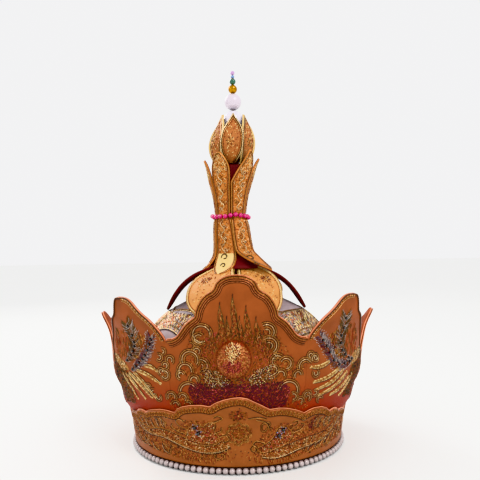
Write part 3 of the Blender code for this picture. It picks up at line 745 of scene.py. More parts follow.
def numbers(shape):
    """Point numbers of a grid."""
    return np.arange(math.prod(shape)).reshape(shape)


def quads(grid, around=False):
    """Faces between neighbours in a grid of point numbers, whose rows may be closed rings."""
    if around:
        grid = np.hstack([grid, grid[:, :1]])
    low, high = grid[:-1], grid[1:]
    return np.stack([low[:, :-1], low[:, 1:], high[:, 1:], high[:, :-1]], -1).reshape(-1, 4)


class Cloth:
    """The outer face of a piece of cloth that bends about the hat's axis.

    Its profile runs upwards. A mark on it is a height, or else the way along the cloth from
    the lower end, in millimetres. A bulge is a function of angle and mark that moves it out.
    """

    def __init__(self, rows, centre=0.0, by_height=False, bulge=None, bow=None):
        line = smooth_line([row[:2] for row in rows], PROFILE_STEP)
        slope = unit(np.gradient(line, axis=0))
        way = way_of(line)
        self.marks = line[:, 1] if by_height else way
        self.columns = (line[:, 0], line[:, 1], slope[:, 1], -slope[:, 0])
        self.length = way[-1]
        self.centre, self.bulge, self.bow = centre, bulge, bow

    def mark_at(self, radius, height):
        """The mark nearest to a point of the profile."""
        return self.marks[np.argmin(np.hypot(self.columns[0] - radius, self.columns[1] - height))]

    def radius(self, mark):
        return np.interp(mark, self.marks, self.columns[0])

    def at(self, angle, mark, across=0.0, out=0.0):
        """Points in metres, out of the cloth's face by a distance."""
        radius, height, away, up = (np.interp(mark, self.marks, column) for column in self.columns)
        side = angle + np.degrees(across / radius)
        if self.bulge:
            out = out + self.bulge(side, mark)
        points = hoop(radius + out * away, np.radians(self.centre + side), height + out * up) * MM
        return self.bow(points) if self.bow else points

    def edge(self, angles, marks):
        """A flat line through angles and marks: millimetres across and along the cloth."""
        return np.stack([np.radians(angles) * self.radius(marks), marks], -1)

    def flat(self, places):
        places = np.asarray(places, float)
        return self.edge(places[:, 0], places[:, 1])


class Spot:
    """A place on cloth where a motif is laid, and turned by an angle in degrees."""

    def __init__(self, cloth, angle=0.0, mark=0.0, turn=0.0):
        self.cloth, self.angle, self.mark, self.turn = cloth, angle, mark, math.radians(turn)

    def lay(self, line, out):
        x, y = np.moveaxis(np.asarray(line, float), -1, 0)
        across = math.cos(self.turn) * x - math.sin(self.turn) * y
        along = math.sin(self.turn) * x + math.cos(self.turn) * y
        return self.cloth.at(self.angle, self.mark + along, across, out)


class Dome(Spot):
    """The padded boss on the front panel, over which threads are laid in the same way."""

    def lay(self, line, out):
        line = np.asarray(line, float)
        share = ((line / (BOSS_RADIUS * BOSS_SHARES)) ** 2).sum(-1)
        rise = (BOSS_DEPTH + BOSS_FOOT) * np.sqrt(np.clip(1.0 - share, 0.0, 1.0))
        return super().lay(line, out + rise)


def mesh_object(name, points, faces, slots, finishes, flat=None):
    """A shaded object from arrays of points and faces, riding on the hat's body."""
    mesh = bpy.data.meshes.new(name)
    mesh.from_pydata(points, [], faces)
    mesh.polygons.foreach_set("material_index", np.asarray(slots, np.int32))
    mesh.shade_smooth()
    if flat is not None:
        layer = mesh.uv_layers.new(name="cloth")
        corners = np.empty(len(mesh.loops), np.int32)
        mesh.loops.foreach_get("vertex_index", corners)
        layer.data.foreach_set("uv", np.asarray(flat, np.float32)[corners].ravel())
    for item in finishes:
        mesh.materials.append(finish(item))
    made = bpy.data.objects.new(name, mesh)
    bpy.context.collection.objects.link(made)
    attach(made, BODY)
    return made


def ball_template(sides, rings):
    """Points and triangles of a unit ball."""
    rises = np.linspace(-math.pi / 2.0, math.pi / 2.0, rings + 1)[1:-1]
    rise, turn = np.meshgrid(rises, circle(sides), indexing="ij")
    body = np.stack([np.cos(rise) * np.cos(turn), np.cos(rise) * np.sin(turn), np.sin(rise)], -1)
    points = np.vstack([body.reshape(-1, 3), [[0.0, 0.0, -1.0], [0.0, 0.0, 1.0]]])
    faces = []
    low, high = len(points) - 2, len(points) - 1
    top = (rings - 2) * sides
    for k in range(sides):
        n = (k + 1) % sides
        faces.append((low, n, k))
        for ring in range(0, top, sides):
            a, b = ring + k, ring + n
            faces += [(a, b, b + sides), (a, b + sides, a + sides)]
        faces.append((top + k, top + n, high))
    return points, np.array(faces)


# Triangles of one bundle of stitches: its end, two rows of three points, and its other end.
BUNDLE = np.array([(0, 2, 1), (0, 3, 2), (1, 5, 4), (1, 2, 5),
                   (2, 6, 5), (2, 3, 6), (4, 5, 7), (5, 6, 7)])


class Needlework:
    """Threads, stitches and beads, gathered into one mesh with a slot for each finish.

    They are laid at its spot, with its generator's small irregularities. Threads are given
    by word, and mixed ones by the words in one string.
    """

    def __init__(self, spot, random=None, parts=None):
        self.spot, self.random = spot, random
        self.flat = spot.cloth.flat if spot else None
        self.parts = [] if parts is None else parts

    def on(self, spot):
        """The same work, carried on at another spot."""
        return Needlework(spot, self.random, self.parts)

    def add(self, item, points, faces):
        self.parts.append((item, points.reshape(-1, 3), faces.reshape(-1, 3)))

    def tube(self, item, path, normal, radius, pitch=0.0, closed=False):
        """A thread along a path in metres; a pitch twists it from two strands.

        It has three sides. A flat one faces out of the cloth, and its shading makes it look
        round.
        """
        along = unit(np.gradient(path, axis=0))
        if closed:
            along[0] = along[-1] = unit(path[1] - path[-2])
        side = unit(np.cross(along, normal))
        normal = np.cross(side, along)
        turn = circle(3) + math.pi / 3
        size = np.full((len(path), 3), radius / math.sin(math.pi / 3) ** 0.9)
        if pitch:
            winding = math.tau * way_of(path)[:, None] / MM / pitch
            size *= 1.0 + 0.24 * np.cos(2.0 * (turn - winding))
        if not closed:
            size[[0, -1]] *= 0.15
        ring = np.cos(turn)[:, None] * normal[:, None] + np.sin(turn)[:, None] * side[:, None]
        faces = quads(numbers((len(path), 3)), around=True)[:, [0, 2, 1, 0, 3, 2]]
        self.add(item, path[:, None] + size[..., None] * MM * ring, faces)

    def thread(self, item, line, radius, pitch=0.0):
        """A thread laid on the cloth along a flat line."""
        path = self.spot.lay(line, radius * 0.7)
        normal = unit(self.spot.lay(line, radius * 0.7 + 1.0) - path)
        self.tube(item, path, normal, radius, pitch)

    def border(self, edge, rows, pitch=0.0):
        """Threads beside an edge, from rows of distance, finish and radius."""
        for distance, item, radius in rows:
            self.thread(item, inset(edge, distance), radius, pitch)

    def couched(self, line, radius, gap, item="gold"):
        """A gold thread with a dark one beside it, as couched goldwork is outlined."""
        self.thread(item, line, radius)
        if len(line) > 3:
            self.thread("dark", line + gap * sideways(line), radius * 0.8)

    def stitches(self, item, starts, ends, width=0.75, rise=0.45):
        """Bundles of silk from starts to ends, raised in the middle and pulled in at the ends."""
        if not len(starts):
            return
        steps = [starts + (ends - starts) * share for share in (0.0, 0.28, 0.72, 1.0)]
        low = [self.spot.lay(step, 0.08) for step in steps]
        normal = unit(self.spot.lay(steps[1], 1.0) - self.spot.lay(steps[1], 0.0))
        side = unit(np.cross(unit(low[3] - low[0]), normal)) * width * 0.5 * MM
        top = normal * rise * MM
        points = np.stack([low[0], low[1] - side, low[1] + top, low[1] + side,
                           low[2] - side, low[2] + top, low[2] + side, low[3]], axis=1)
        self.add(item, points, BUNDLE + 8 * np.arange(len(starts))[:, None, None])

    def balls(self, item, centres, radius, sides=8, rings=5):
        """Round beads at places in metres."""
        points, faces = ball_template(sides, rings)
        self.add(item, centres[:, None] + points * radius * MM,
                 faces + len(points) * np.arange(len(centres))[:, None, None])

    def scatter(self, corners, spacing):
        """Places about a spacing apart within a polygon, each moved a little at random."""
        low, high = corners.min(0), corners.max(0)
        grid = np.stack(np.meshgrid(np.arange(low[0], high[0], spacing),
                                    np.arange(low[1], high[1], spacing)), -1).reshape(-1, 2)
        grid = grid + self.random.uniform(-0.5, 0.5, grid.shape) * spacing
        return grid[inside(grid, corners)]

    def seeds(self, places, items, reach, heading, spread=0.5, width=0.8):
        """Short stitches at places, of mixed silks, that lie about a heading in radians."""
        items, count = items.split(), len(places)
        picks = self.random.choice(len(items), count)
        turn = heading + self.random.normal(0.0, spread, count)
        half = rays(turn) * (reach * self.random.uniform(0.35, 0.65, count))[:, None]
        for k, item in enumerate(items):
            chosen = picks == k
            self.stitches(item, (places - half)[chosen], (places + half)[chosen], width)

    def sow(self, corners, spacing, *stitch):
        """Seed stitches scattered within a polygon."""
        self.seeds(self.scatter(corners, spacing), *stitch)

    def herringbone(self, edge, distance, reach, step, items, width):
        """Stitches that slant one way and the other by turns, along a line beside an edge."""
        line = inset(edge, distance, step)
        side = sideways(line)
        along = np.stack([side[:, 1], -side[:, 0]], -1)
        hand = np.where(np.arange(len(line)) % 2 == 0, 1.0, -1.0)[:, None]
        half = (side * hand + along * 0.7) * reach * 0.5
        items = items.split()
        for k, item in enumerate(items):
            chosen = np.arange(len(line)) % len(items) == k
            self.stitches(item, (line - half)[chosen], (line + half)[chosen], width, 0.6)

    def blossom(self, radius, petal, between):
        """A star flower: pointed petals with dark stitches between them about a gold knot."""
        for item, turn, near, far, width in ((petal, 0.4, 0.2, 1.0, 1.15),
                                             (between, 0.9, 0.4, 1.05, 0.6),
                                             (between, 0.4, 1.35, 1.7, 0.6)):
            ray = rays(circle(6) + turn) * radius
            self.stitches(item, ray * near, ray * far, width, 0.5)
        self.balls("gold", self.spot.lay([[0.0, 0.0]], 0.4), 0.75)

    def arcs(self, centre, radius, start, end, rings):
        """Concentric arcs of gold with a dark thread inside each, from start to end in degrees."""
        share = np.linspace(0.0, 1.0, 40)
        ray = rays(np.radians(start + (end - start) * share)) * (1.0 - 0.12 * share ** 2)[:, None]
        for ring in range(rings):
            reach = radius - RING_PITCH * ring
            if reach < 0.8:
                break
            self.thread("pale" if ring % 2 else "gold", evenly(centre + ray * reach), 0.25, TWIST)
            self.thread("dark", evenly(centre + ray * (reach - 0.7)), 0.21)
        self.thread("dark", evenly(centre + ray * (radius + 0.7)), 0.18)

    def cloud_head(self, angle, mark, size, turn=0.0):
        """A cloud of three lobes, each of concentric arcs, over a short tail."""
        here = self.on(Spot(self.spot.cloth, angle, mark, turn))
        for x, y, radius, start, end in ((-0.62, 0.0, 0.58, 70, 330), (0.62, 0.0, 0.58, 110, -150),
                                         (0.0, 0.5, 0.62, -20, 200)):
            here.arcs(np.array([x, y]) * size, radius * size, start, end, 3)
        tail = np.array([(-0.3, -0.5), (0.0, -0.8), (0.2, -1.3), (0.0, -1.8)]) * size
        here.couched(smooth_line(tail), 0.27, 0.75)

    def make(self, name, slot_name="gold_thread"):
        if not self.parts:
            raise RuntimeError(f"{name} has no thread or bead")
        items, points, faces = zip(*self.parts)
        finishes = list(dict.fromkeys(items))
        starts = np.cumsum([0, *(len(part) for part in points)])
        faces = [part + start for part, start in zip(faces, starts)]
        slots = np.repeat([finishes.index(item) for item in items], [len(part) for part in faces])
        made = mesh_object(name, np.vstack(points), np.vstack(faces), slots, finishes)
        return made


def generator(group):
    return np.random.default_rng(SEEDS[group])


def sides_of(outline, hand):
    """Smooth marks and edges of a panel's outline; the mirrored one swaps its two edges."""
    marks, near, far = smooth_line([(row[0], -row[1], row[-1]) for row in outline], PANEL_STEP).T
    marks = np.maximum.accumulate(marks)
    return (marks, near, far) if hand > 0 else (marks, -far, -near)


def edge_points(cloth, edges, notches=NO_NOTCH):
    """Points up the right edge of a sheet and down its left one, above its notches."""
    marks, first, last = edges
    left = cloth.edge(first, marks)[marks > notches[0]]
    right = cloth.edge(last, marks)[marks > notches[1]]
    return np.vstack([right, left[::-1]])


def narrowed(cloth, edges, share, low, high):
    """Corners of a leaf narrowed by a share, between two shares of its length."""
    marks, first, last = edges
    kept = (marks >= low * marks[-1]) & (marks <= high * marks[-1])
    middle, half = (first + last)[kept] / 2.0, (last - first)[kept] / 2.0 * share
    return edge_points(cloth, (marks[kept], middle - half, middle + half))


def swell_of(depth, thickness):
    """How far both faces of padded cloth stand off its middle, by the depth from its rim."""
    share = np.clip(depth / (thickness * 0.6), 0.0, 1.0)
    return thickness / 2.0 * np.sqrt(1.0 - (1.0 - share) ** 2)


def sew(node, front, back, flat, slots, finishes, widths, marks, around=False):
    """A closed sheet that replaces its node, from grids of its two faces and its flat places.

    Both faces share the grid's border. Finishes are in the order of the slots, with or without
    that of the free end. The sheet keeps the size that it was cut to.
    """
    inner = (slice(1, -1),) if around else (slice(1, -1), slice(1, -1))
    near = numbers(flat.shape[:2])
    behind = near.copy()
    behind[inner] = near.size + numbers(near[inner].shape)
    faces = np.vstack([quads(near, around), quads(behind, around)[:, ::-1]])
    slots = np.concatenate([slots, np.full(len(faces) - len(slots), BACK)])
    points = np.vstack([front.reshape(-1, 3), back[inner].reshape(-1, 3)])
    cuts = np.vstack([flat.reshape(-1, 2), flat[inner].reshape(-1, 2)]) * MM
    made = mesh_object(node + "_satin", points, faces, slots, finishes, cuts)
    steps = np.diff(marks, axis=0)
    area = ((widths[1:] + widths[:-1]) / 2.0 * steps).sum(0).mean()
    made["cut"] = [float(widths.max()) * MM, float(steps.sum(0).max()) * MM, float(area) * MM * MM]
    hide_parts(node)
    return made


def sew_sheet(node, cloth, edges, thickness, finishes, columns=18, notches=NO_NOTCH,
              free_end=NOWHERE):
    """A padded sheet between two edges, round at its rim.

    Edges are marks and the first and last angle at each. The rim has its own finish above
    the two notches alone, and narrower on thick cloth. Below the mark of its free end the
    face has a fourth finish.
    """
    marks, first, last = edges
    left, right = cloth.edge(first, marks)[:, 0], cloth.edge(last, marks)[:, 0]
    rim = np.array([0.0, 0.25, 0.7, 1.3, 2.2])
    rows = []
    for start, end in zip(left, right):
        near = rim * min(1.0, (end - start) / (rim[-1] * 2.4))
        middle = np.linspace(start + near[-1], end - near[-1], columns + 2)[1:-1]
        rows.append(np.concatenate([start + near, middle, (end - near)[::-1]]))
    across = np.array(rows)
    along = np.repeat(marks[:, None], across.shape[1], axis=1)
    flat = np.stack([across, along], -1)
    crown = edge_points(cloth, edges, notches)[::-1]
    depth = distance_to(flat.reshape(-1, 2), crown).reshape(across.shape)
    depth = np.minimum(depth, along - marks[0])
    depth[[0, -1]] = 0.0
    depth[marks > notches[0], 0] = 0.0
    depth[marks > notches[1], -1] = 0.0
    swell = swell_of(depth, thickness)
    front, back = (cloth.at(0.0, along, across, out - thickness / 2.0) for out in (swell, -swell))
    width = across.shape[1]
    notch = np.where(np.arange(width) < width // 2, notches[0], notches[1])
    rim_here = (depth < (0.7 if thickness < 2.5 else 0.2)) & (along > notch)
    corners = quads(numbers(across.shape))
    slots = np.where(rim_here.ravel()[corners].sum(1) > 1, RIM, FACE)
    slots[(slots == FACE) & (along.ravel()[corners].mean(1) < free_end)] = FREE_END
    return sew(node, front, back, flat, slots, finishes, right - left, marks)


def sew_ring(node, cloth, low, high, thickness, finishes, rows, relief=None):
    """A closed ring of cloth between a low mark and the marks of its upper edge right round."""
    turn = np.repeat(ring_angles(len(high))[None], rows, axis=0)
    share = 0.5 - 0.5 * np.cos(np.linspace(0.0, math.pi, rows))
    marks = low + (high - low) * share[:, None]
    depth = np.minimum(marks - marks[0], marks[-1] - marks)
    swell = swell_of(depth, thickness)
    raised = relief(turn, marks) * np.clip(depth, 0.0, 1.0) if relief else 0.0
    front = cloth.at(turn, marks, 0.0, swell - thickness / 2.0 + raised)
    back = cloth.at(turn, marks, 0.0, -swell - thickness / 2.0)
    corners = quads(numbers(marks.shape), around=True)
    slots = np.where(depth.ravel()[corners].mean(1) < 0.45, RIM, FACE)
    return sew(node, front, back, cloth.edge(turn, marks), slots, finishes,
               math.tau * cloth.radius(marks), marks, around=True)


def ring_angles(count):
    return np.linspace(-180.0, 180.0, count, endpoint=False)


def turned(name, outline, sides, item, relief=None):
    """A body turned about the axis from points of radius and height, in millimetres."""
    outline = np.asarray(outline, float)
    turn = circle(sides)
    reach, height = (np.repeat(outline[:, k:k + 1], sides, axis=1) for k in (0, 1))
    if relief:
        reach = reach + relief(turn[None], height)
    grid = numbers(reach.shape)
    faces = quads(grid, around=True).tolist() + [grid[0, ::-1].tolist(), grid[-1].tolist()]
    points = bowed(hoop(reach, turn, height) * MM).reshape(-1, 3)
    return mesh_object(name, points, faces, np.zeros(len(faces)), (item,))


def bowed(points):
    """Points of the spire, moved sideways as the soft stem bows between its ends."""
    points = np.array(points)
    heights, shifts = np.array(STEM_BOW).T
    points[..., 0] += np.interp(points[..., 2], heights * MM, shifts * MM)
    return points


def tier_cloth(centre=0.0, lean=0.0, notch=0.0, peak=1.0):
    """The outer face of the tier or of one panel of it, with its padding and its peak's lean."""
    def bulge(side, mark):
        turn = np.abs((centre + side + 180.0) % 360.0 - 180.0)
        hem = np.clip((turn - 52.0) / 22.0, 0.0, 1.0) * np.exp(-((mark - 43.0) / 8.0) ** 2)
        rise = np.clip((mark - notch) / (peak - notch), 0.0, 1.0)
        waves = np.sin(np.radians(centre + side) * 13.0 + mark * 0.06) * np.sin(mark * 0.11 + 1.0)
        return 2.4 * hem + lean * rise + 0.35 * waves
    return Cloth(TIER_ROWS, centre, by_height=True, bulge=bulge)


def band_cloth():
    """The band's outer face, a band's thickness and a little air outside the tier."""
    rows = [(radius + BAND_GAP, height) for radius, height in TIER_ROWS[:BAND_ROWS]]
    return Cloth(rows, by_height=True)


def braid(work, edge, cord):
    """Edging of a panel: a copper cord, then fine gold and dark lines by turns."""
    work.thread("copper", inset(edge, 0.7), cord * 0.3, TWIST)
    work.border(edge, ((1.4, "dark", 0.22), (2.0, "gold", 0.26), (2.6, "copper", 0.34),
                       (3.2, "dark", 0.26), (3.9, "copper", 0.4), (4.7, "dark", 0.26),
                       (5.3, "copper", 0.34), (5.9, "dark", 0.18)))


def speckled_braid(work, edge, far):
    """Edging of a wing panel: broad and speckled on its near edge, thin lines on its far one."""
    peak = int(np.argmax(edge[:, 1]))
    near, rest = (edge[peak:], edge[:peak + 1]) if far else (edge[:peak + 1], edge[peak:])
    work.border(near, ((0.7, "dark", 0.34),))
    work.herringbone(near, 1.9, 2.0, 0.75, "copper pale bronze gold", 0.6)
    work.border(near, ((3.3, "gold", 0.34),), TWIST)
    work.border(rest, ((0.9, "bronze", 0.45),), TWIST)
    work.border(rest, ((1.7, "dark", 0.36),))


def lotus_panel(work, top, hand):
    """A lotus between cloud heads on a panel that the photograph doesn't show."""
    scale = (top - 55.0) / 65.0
    lotus = work.on(Spot(work.spot.cloth, 0.0, 52.0 + 14.0 * scale))
    for turn in np.radians(np.linspace(-75.0, 75.0, 7)):
        ray = np.array([math.sin(turn), math.cos(turn)])
        side = np.array([math.cos(turn), -math.sin(turn)])
        size = (15.0 - 4.0 * abs(turn)) * scale
        for flip in (1.0, -1.0):
            leaf = [ray * 1.5, ray * size * 0.45 + side * 2.6 * flip * scale, ray * size]
            lotus.couched(smooth_line(leaf), 0.3, 0.7 * flip)
        starts = ray * np.linspace(0.3, 0.75, 5)[:, None] * size
        starts = starts + work.random.normal(0.0, 0.5, (5, 2))
        lotus.stitches("rose", starts, starts + ray * 2.2, 0.9)
    for angle, height, size, turn in SIDE_CLOUDS:
        work.cloud_head(angle * hand, height, size, turn * hand)
    work.cloud_head(-3.0 * hand, 52.0 + 34.0 * scale, 4.4 * scale)
    places = work.scatter(work.flat([(-18, 42), (18, 42), (17, 54), (-17, 54)]), 1.25)
    heading = 0.4 * np.sin(places[:, 0] * 0.5)
    work.seeds(places, "plum plum olive gold dark", 2.0, heading, 0.2, 0.8)


class CROWN_OT_panels(bpy.types.Operator):
    """Eight padded satin panels with their edging of gold cord"""

    bl_idname = "crown.panels"
    bl_label = "Panels"

    def execute(self, context):
        sizes = context.scene.crown_sizes
        for node, centre, hand, outline, near, far, lean in PANELS:
            top = outline[-1][0]
            cloth = tier_cloth(centre, lean, far, top)
            edges = sides_of(outline, hand)
            notches = (near, far) if hand > 0 else (far, near)
            made = sew_sheet(node, cloth, edges, sizes.panel_thickness / MM,
                             ("panel", "piping", "facing"), notches=notches)
            work = Needlework(Spot(cloth), generator("lotus"))
            edge = evenly(edge_points(cloth, edges, notches))
            if node not in FRONT_PANELS:
                lotus_panel(work, top, hand)
            if near == far:
                braid(work, edge, sizes.cord / MM)
            else:
                speckled_braid(work, edge, hand > 0)
            work.make(node + "_edging")
        return {"FINISHED"}


def band_top(angles):
    return np.interp(angles, *np.array(BAND_EDGE).T)


class CROWN_OT_band(bpy.types.Operator):
    """Scalloped brim band with its braided upper border"""

    bl_idname = "crown.band"
    bl_label = "Brim band"

    def execute(self, context):
        sizes = context.scene.crown_sizes
        cloth = band_cloth()
        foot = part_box("brim_band")[0].z / MM
        high = band_top(ring_angles(400))
        # The band's rims take the piping colour, pale as a painted highlight along its top edge.
        made = sew_ring("brim_band", cloth, foot, high, sizes.band_thickness / MM,
                        ("band", "piping", "lining"), rows=24)
        work = Needlework(Spot(cloth))
        turns = np.arange(-180.0, 180.01, 0.4)
        edge = evenly(cloth.edge(turns, band_top(turns)), 0.7)
        work.border(edge, ((-0.9, "copper", 0.42),), TWIST)
        for distance, items in ((-2.0, "gold copper copper bronze gold"),
                                (-3.6, "copper bronze gold dark"), (-5.0, "copper gold bronze")):
            work.herringbone(edge, distance, 1.9, 0.75, items, 0.6)
        work.border(edge, ((-6.1, "dark", 0.26),))
        work.make("brim_band_border")
        return {"FINISHED"}


def string_of(work, item, path, radius):
    """A closed thread along a path in metres, for beads' strings and rings of painted shade."""
    work.tube(item, path, np.tile([0.0, 0.0, 1.0], (len(path), 1)), radius, closed=True)


class CROWN_OT_pearls(bpy.types.Operator):
    """String of pearls under the band"""

    bl_idname = "crown.pearls"
    bl_label = "Rim pearls"

    def execute(self, context):
        sizes = context.scene.crown_sizes
        low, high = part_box("pearl_string")
        ring = (high.x - low.x) / 2.0 - sizes.pearl / 2.0
        height = (low.z + high.z) / 2.0
        spacing = math.tau * ring / sizes.pearl_count
        work = Needlework(None)
        work.balls("shell", hoop(ring, circle(sizes.pearl_count), height),
                   min(sizes.pearl, spacing * 0.99) / 2.0 / MM, 14, 8)
        path = hoop(ring, np.linspace(0.0, math.tau, 180), height)
        string_of(work, "silver", path, 0.4)
        # The two dark threads behind the pearls are painted shade: they darken the slit between
        # the pearls and the band.
        inner = path * [1.0 - 1.3 * MM / ring, 1.0 - 1.3 * MM / ring, 1.0]
        for lift in (-1.2, 1.6):
            string_of(work, "dark", inner + [0.0, 0.0, lift * MM], 1.1)
        made = work.make("rim_pearls", "pearl")
        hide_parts("pearl_string")
        return {"FINISHED"}


def arches(turn):
    """Where an angle stands in an arch of the cap, from -1 to 1, and the arch's rise there."""
    share = ((turn + ARCH_START) % ARCH_PITCH - ARCH_PITCH / 2.0) / (ARCH_PITCH / 2.0)
    rise = np.sqrt(np.clip(1.0 - share ** 2, 0.0, 1.0))
    return share, rise * (0.6 - 0.4 * np.sin(np.radians(turn)))


class CROWN_OT_cap(bpy.types.Operator):
    """Domed cap of grey lilac satin over a lining, sewn from gores"""

    bl_idname = "crown.cap"
    bl_label = "Cap"

    def execute(self, context):
        rows = [(CAP_RADIUS, height) for height in (0.0, 24.0, 48.0)]
        rows += [(CAP_RADIUS * math.cos(turn), CAP_SIDE + CAP_RISE * math.sin(turn))
                 for turn in np.linspace(0.0, math.pi / 2.0, 24)[:-1]]
        cloth = Cloth(rows)

        def seams(turn, mark):
            away = np.abs((turn + GORE / 2.0) % GORE - GORE / 2.0)
            across = away * cloth.radius(mark) * math.radians(1.0)
            return 0.5 * np.clip(across / 2.5, 0.0, 1.0) ** 0.5 - 0.5

        def level(height):
            return np.interp(height, cloth.columns[1], cloth.marks)

        made = sew_ring("cap", cloth, 0.0, np.full(240, cloth.length - 1.0), 2.0,
                        ("cap", "cap", "lining"), rows=44, relief=seams)
        work = Needlework(Spot(cloth), generator("cap"))
        angles = np.arange(-180.0, 180.01, 0.5)
        rise = arches(angles)[1]
        for foot, height, lines in (
                (95.0, 13.0, ((0.0, "dark", 0.45), (0.9, "pale", 0.45), (4.6, "olive", 0.36),
                              (5.3, "dark", 0.3), (9.4, "gold", 0.36), (10.1, "dark", 0.28))),
                (119.0, 3.0, ((0.0, "pale", 0.4), (0.9, "dark", 0.4), (1.8, "gold", 0.4)))):
            for lift, item, radius in lines:
                work.thread(item, cloth.edge(angles, level(foot + height * rise) + lift), radius)
        turn, height = np.meshgrid(np.arange(-180.0, 180.0, 1.2), np.arange(95.0, 122.0, 1.25))
        turn = turn + work.random.uniform(-0.6, 0.6, turn.shape)
        lean, rise = arches(turn)
        kept = (height > 96.5 + 13.0 * rise) & (height < 119.5)
        places = cloth.edge(turn[kept], level(height[kept]))
        work.seeds(places, "straw pale copper olive silver bronze copper", 4.4,
                   math.pi / 2.0 - lean[kept], 0.15, 0.65)
        work.make("cap_embroidery")
        return {"FINISHED"}


class CROWN_OT_boss(bpy.types.Operator):
    """Round padded boss on the front panel, covered with gold stitches"""

    bl_idname = "crown.boss"
    bl_label = "Boss"

    def execute(self, context):
        cloth = tier_cloth()
        spot = Spot(cloth, *BOSS)
        share = np.sin(np.linspace(0.0, math.pi / 2.0, 16))[1:]
        around = rays(circle(56))
        flat = BOSS_RADIUS * share[:, None, None] * (BOSS_SHARES * around)
        level = BOSS_FOOT + BOSS_DEPTH * np.sqrt(np.clip(1.0 - share ** 2, 0.0, 1.0))[:, None]
        front, back = spot.lay(flat, level), spot.lay(flat[::-2], 0.1)
        points = np.vstack([spot.lay([[0.0, 0.0]], BOSS_FOOT + BOSS_DEPTH), front.reshape(-1, 3),
                            back.reshape(-1, 3), spot.lay([[0.0, 0.0]], 0.1)])
        grid = 1 + numbers((len(front) + len(back), len(around)))
        last = np.full(len(around), len(points) - 1)
        faces = quads(grid, around=True)[:, [0, 3, 2, 1]].tolist()
        faces += np.stack([0 * last, grid[0], np.roll(grid[0], -1)], -1).tolist()
        faces += np.stack([last, np.roll(grid[-1], -1), grid[-1]], -1).tolist()
        made = mesh_object("boss_pad", points, faces, np.zeros(len(faces)), ("rust",))
        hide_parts("boss")
        work = Needlework(Dome(cloth, *BOSS), generator("boss"))
        places = work.scatter(BOSS_RADIUS * around, 0.75)
        places = places[np.linalg.norm(places / BOSS_SHARES, axis=1) < BOSS_RADIUS * 0.985]
        x, y = places.T
        ragged = work.random.normal
        # The pale stitches near the top of the boss are a painted highlight, where light from
        # above glints on its gold; the rose and plum ones below are rose silk, darkened in part as
        # painted shade.
        gold = np.hypot((x + 0.3) / 4.6, (y - 8.0) / 7.6) + ragged(0.0, 0.16, len(x))
        rose = np.hypot((x + 1.0) / 6.4, (y + 3.4) / 5.6) + ragged(0.0, 0.2, len(x))
        heading = np.arctan2(y - 6.0, x)
        for chosen, items, reach in (
                (gold < 1.0, "pale straw dark gold", 1.1),
                ((gold >= 1.0) & (rose < 1.0), "rose plum rust copper", 1.7),
                ((gold >= 1.0) & (rose >= 1.0), "copper bronze rust gold copper", 2.0)):
            work.seeds(places[chosen], items, reach, heading[chosen], 0.25, 0.6)
        work.make("boss_stitches")
        return {"FINISHED"}


class CROWN_OT_core(bpy.types.Operator):
    """Stuffed maroon core of the spire, gathered into folds"""

    bl_idname = "crown.core"
    bl_label = "Spire core"

    def execute(self, context):
        low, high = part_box("spire_core")
        foot, top = low.z / MM, high.z / MM
        rows = [(radius, foot + rise) for radius, rise in CORE_FLANGE]
        rows += [(radius, TENT_FOOT + rise) for radius, rise in TENT]
        rows += [(12.2, height) for height in np.linspace(TENT_FOOT + 20.0, top - 1.0, 36)]
        rows += [(11.4, top - 0.2), (1.0, top)]

        def folds(turn, height):
            away = np.degrees((turn + math.pi) % math.tau - math.pi) + 36.0
            fade = np.clip((TENT_FOOT + 16.0 - height) / 12.0, 0.0, 1.0)
            pinch = 7.5 * np.exp(-(away / 27.0) ** 2) * fade
            wave = 0.45 * np.cos(turn * 13.0) * np.clip((height - foot) / 10.0, 0.0, 1.0) - 0.3
            return wave - np.where(height >= TENT_FOOT - 0.1, pinch, 0.0)

        made = turned("core_stuffed", rows, 104, "core", folds)
        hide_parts("spire_core")
        return {"FINISHED"}


def leaf_edges(cloth, rows, swing=(0.0, 0.0)):
    """Marks and edges of a leaf from rows of radius, height and half width in degrees."""
    marks = [cloth.mark_at(radius, height) for radius, height, _ in rows]
    line = smooth_line(list(zip(marks, (row[2] for row in rows))), PETAL_STEP)
    kept = np.maximum.accumulate(line[:, 0])
    shift = np.interp(kept, (marks[0], marks[len(marks) // 2], marks[-1] * 0.78, marks[-1]),
                      (swing[0], 0.0, 0.0, swing[1]))
    half = np.maximum(line[:, 1], 0.8)
    return kept, shift - half, shift + half


def leaf_line(cloth, edges):
    """Outline of a leaf as a flat line that runs round it against the clock."""
    return evenly(edge_points(cloth, edges), 0.7)


def vine(work, low, high, sway, wave):
    """A wavy stem up a narrow strip with a small curl in each bend."""
    rise = np.arange(low, high, STEP)
    work.thread("pale", np.stack([sway * np.sin(rise / wave * math.tau), rise], -1), 0.36)
    for k, place in enumerate(np.arange(low + wave * 0.25, high, wave * 0.5)):
        hand = 1.0 if math.sin(place / wave * math.tau) > 0.0 else -1.0
        centre = np.array([-hand * sway * 0.9, place + work.random.uniform(-0.6, 0.6)])
        size, facing = work.random.uniform(1.5, 2.2), work.random.uniform(0.0, 360.0)
        line = evenly(centre + spiral(size, 1.2, facing, hand, 0.3))
        work.thread("gold" if k % 2 else "pale", line, 0.34)
        work.thread("rust", line + [0.7, -0.5], 0.28)


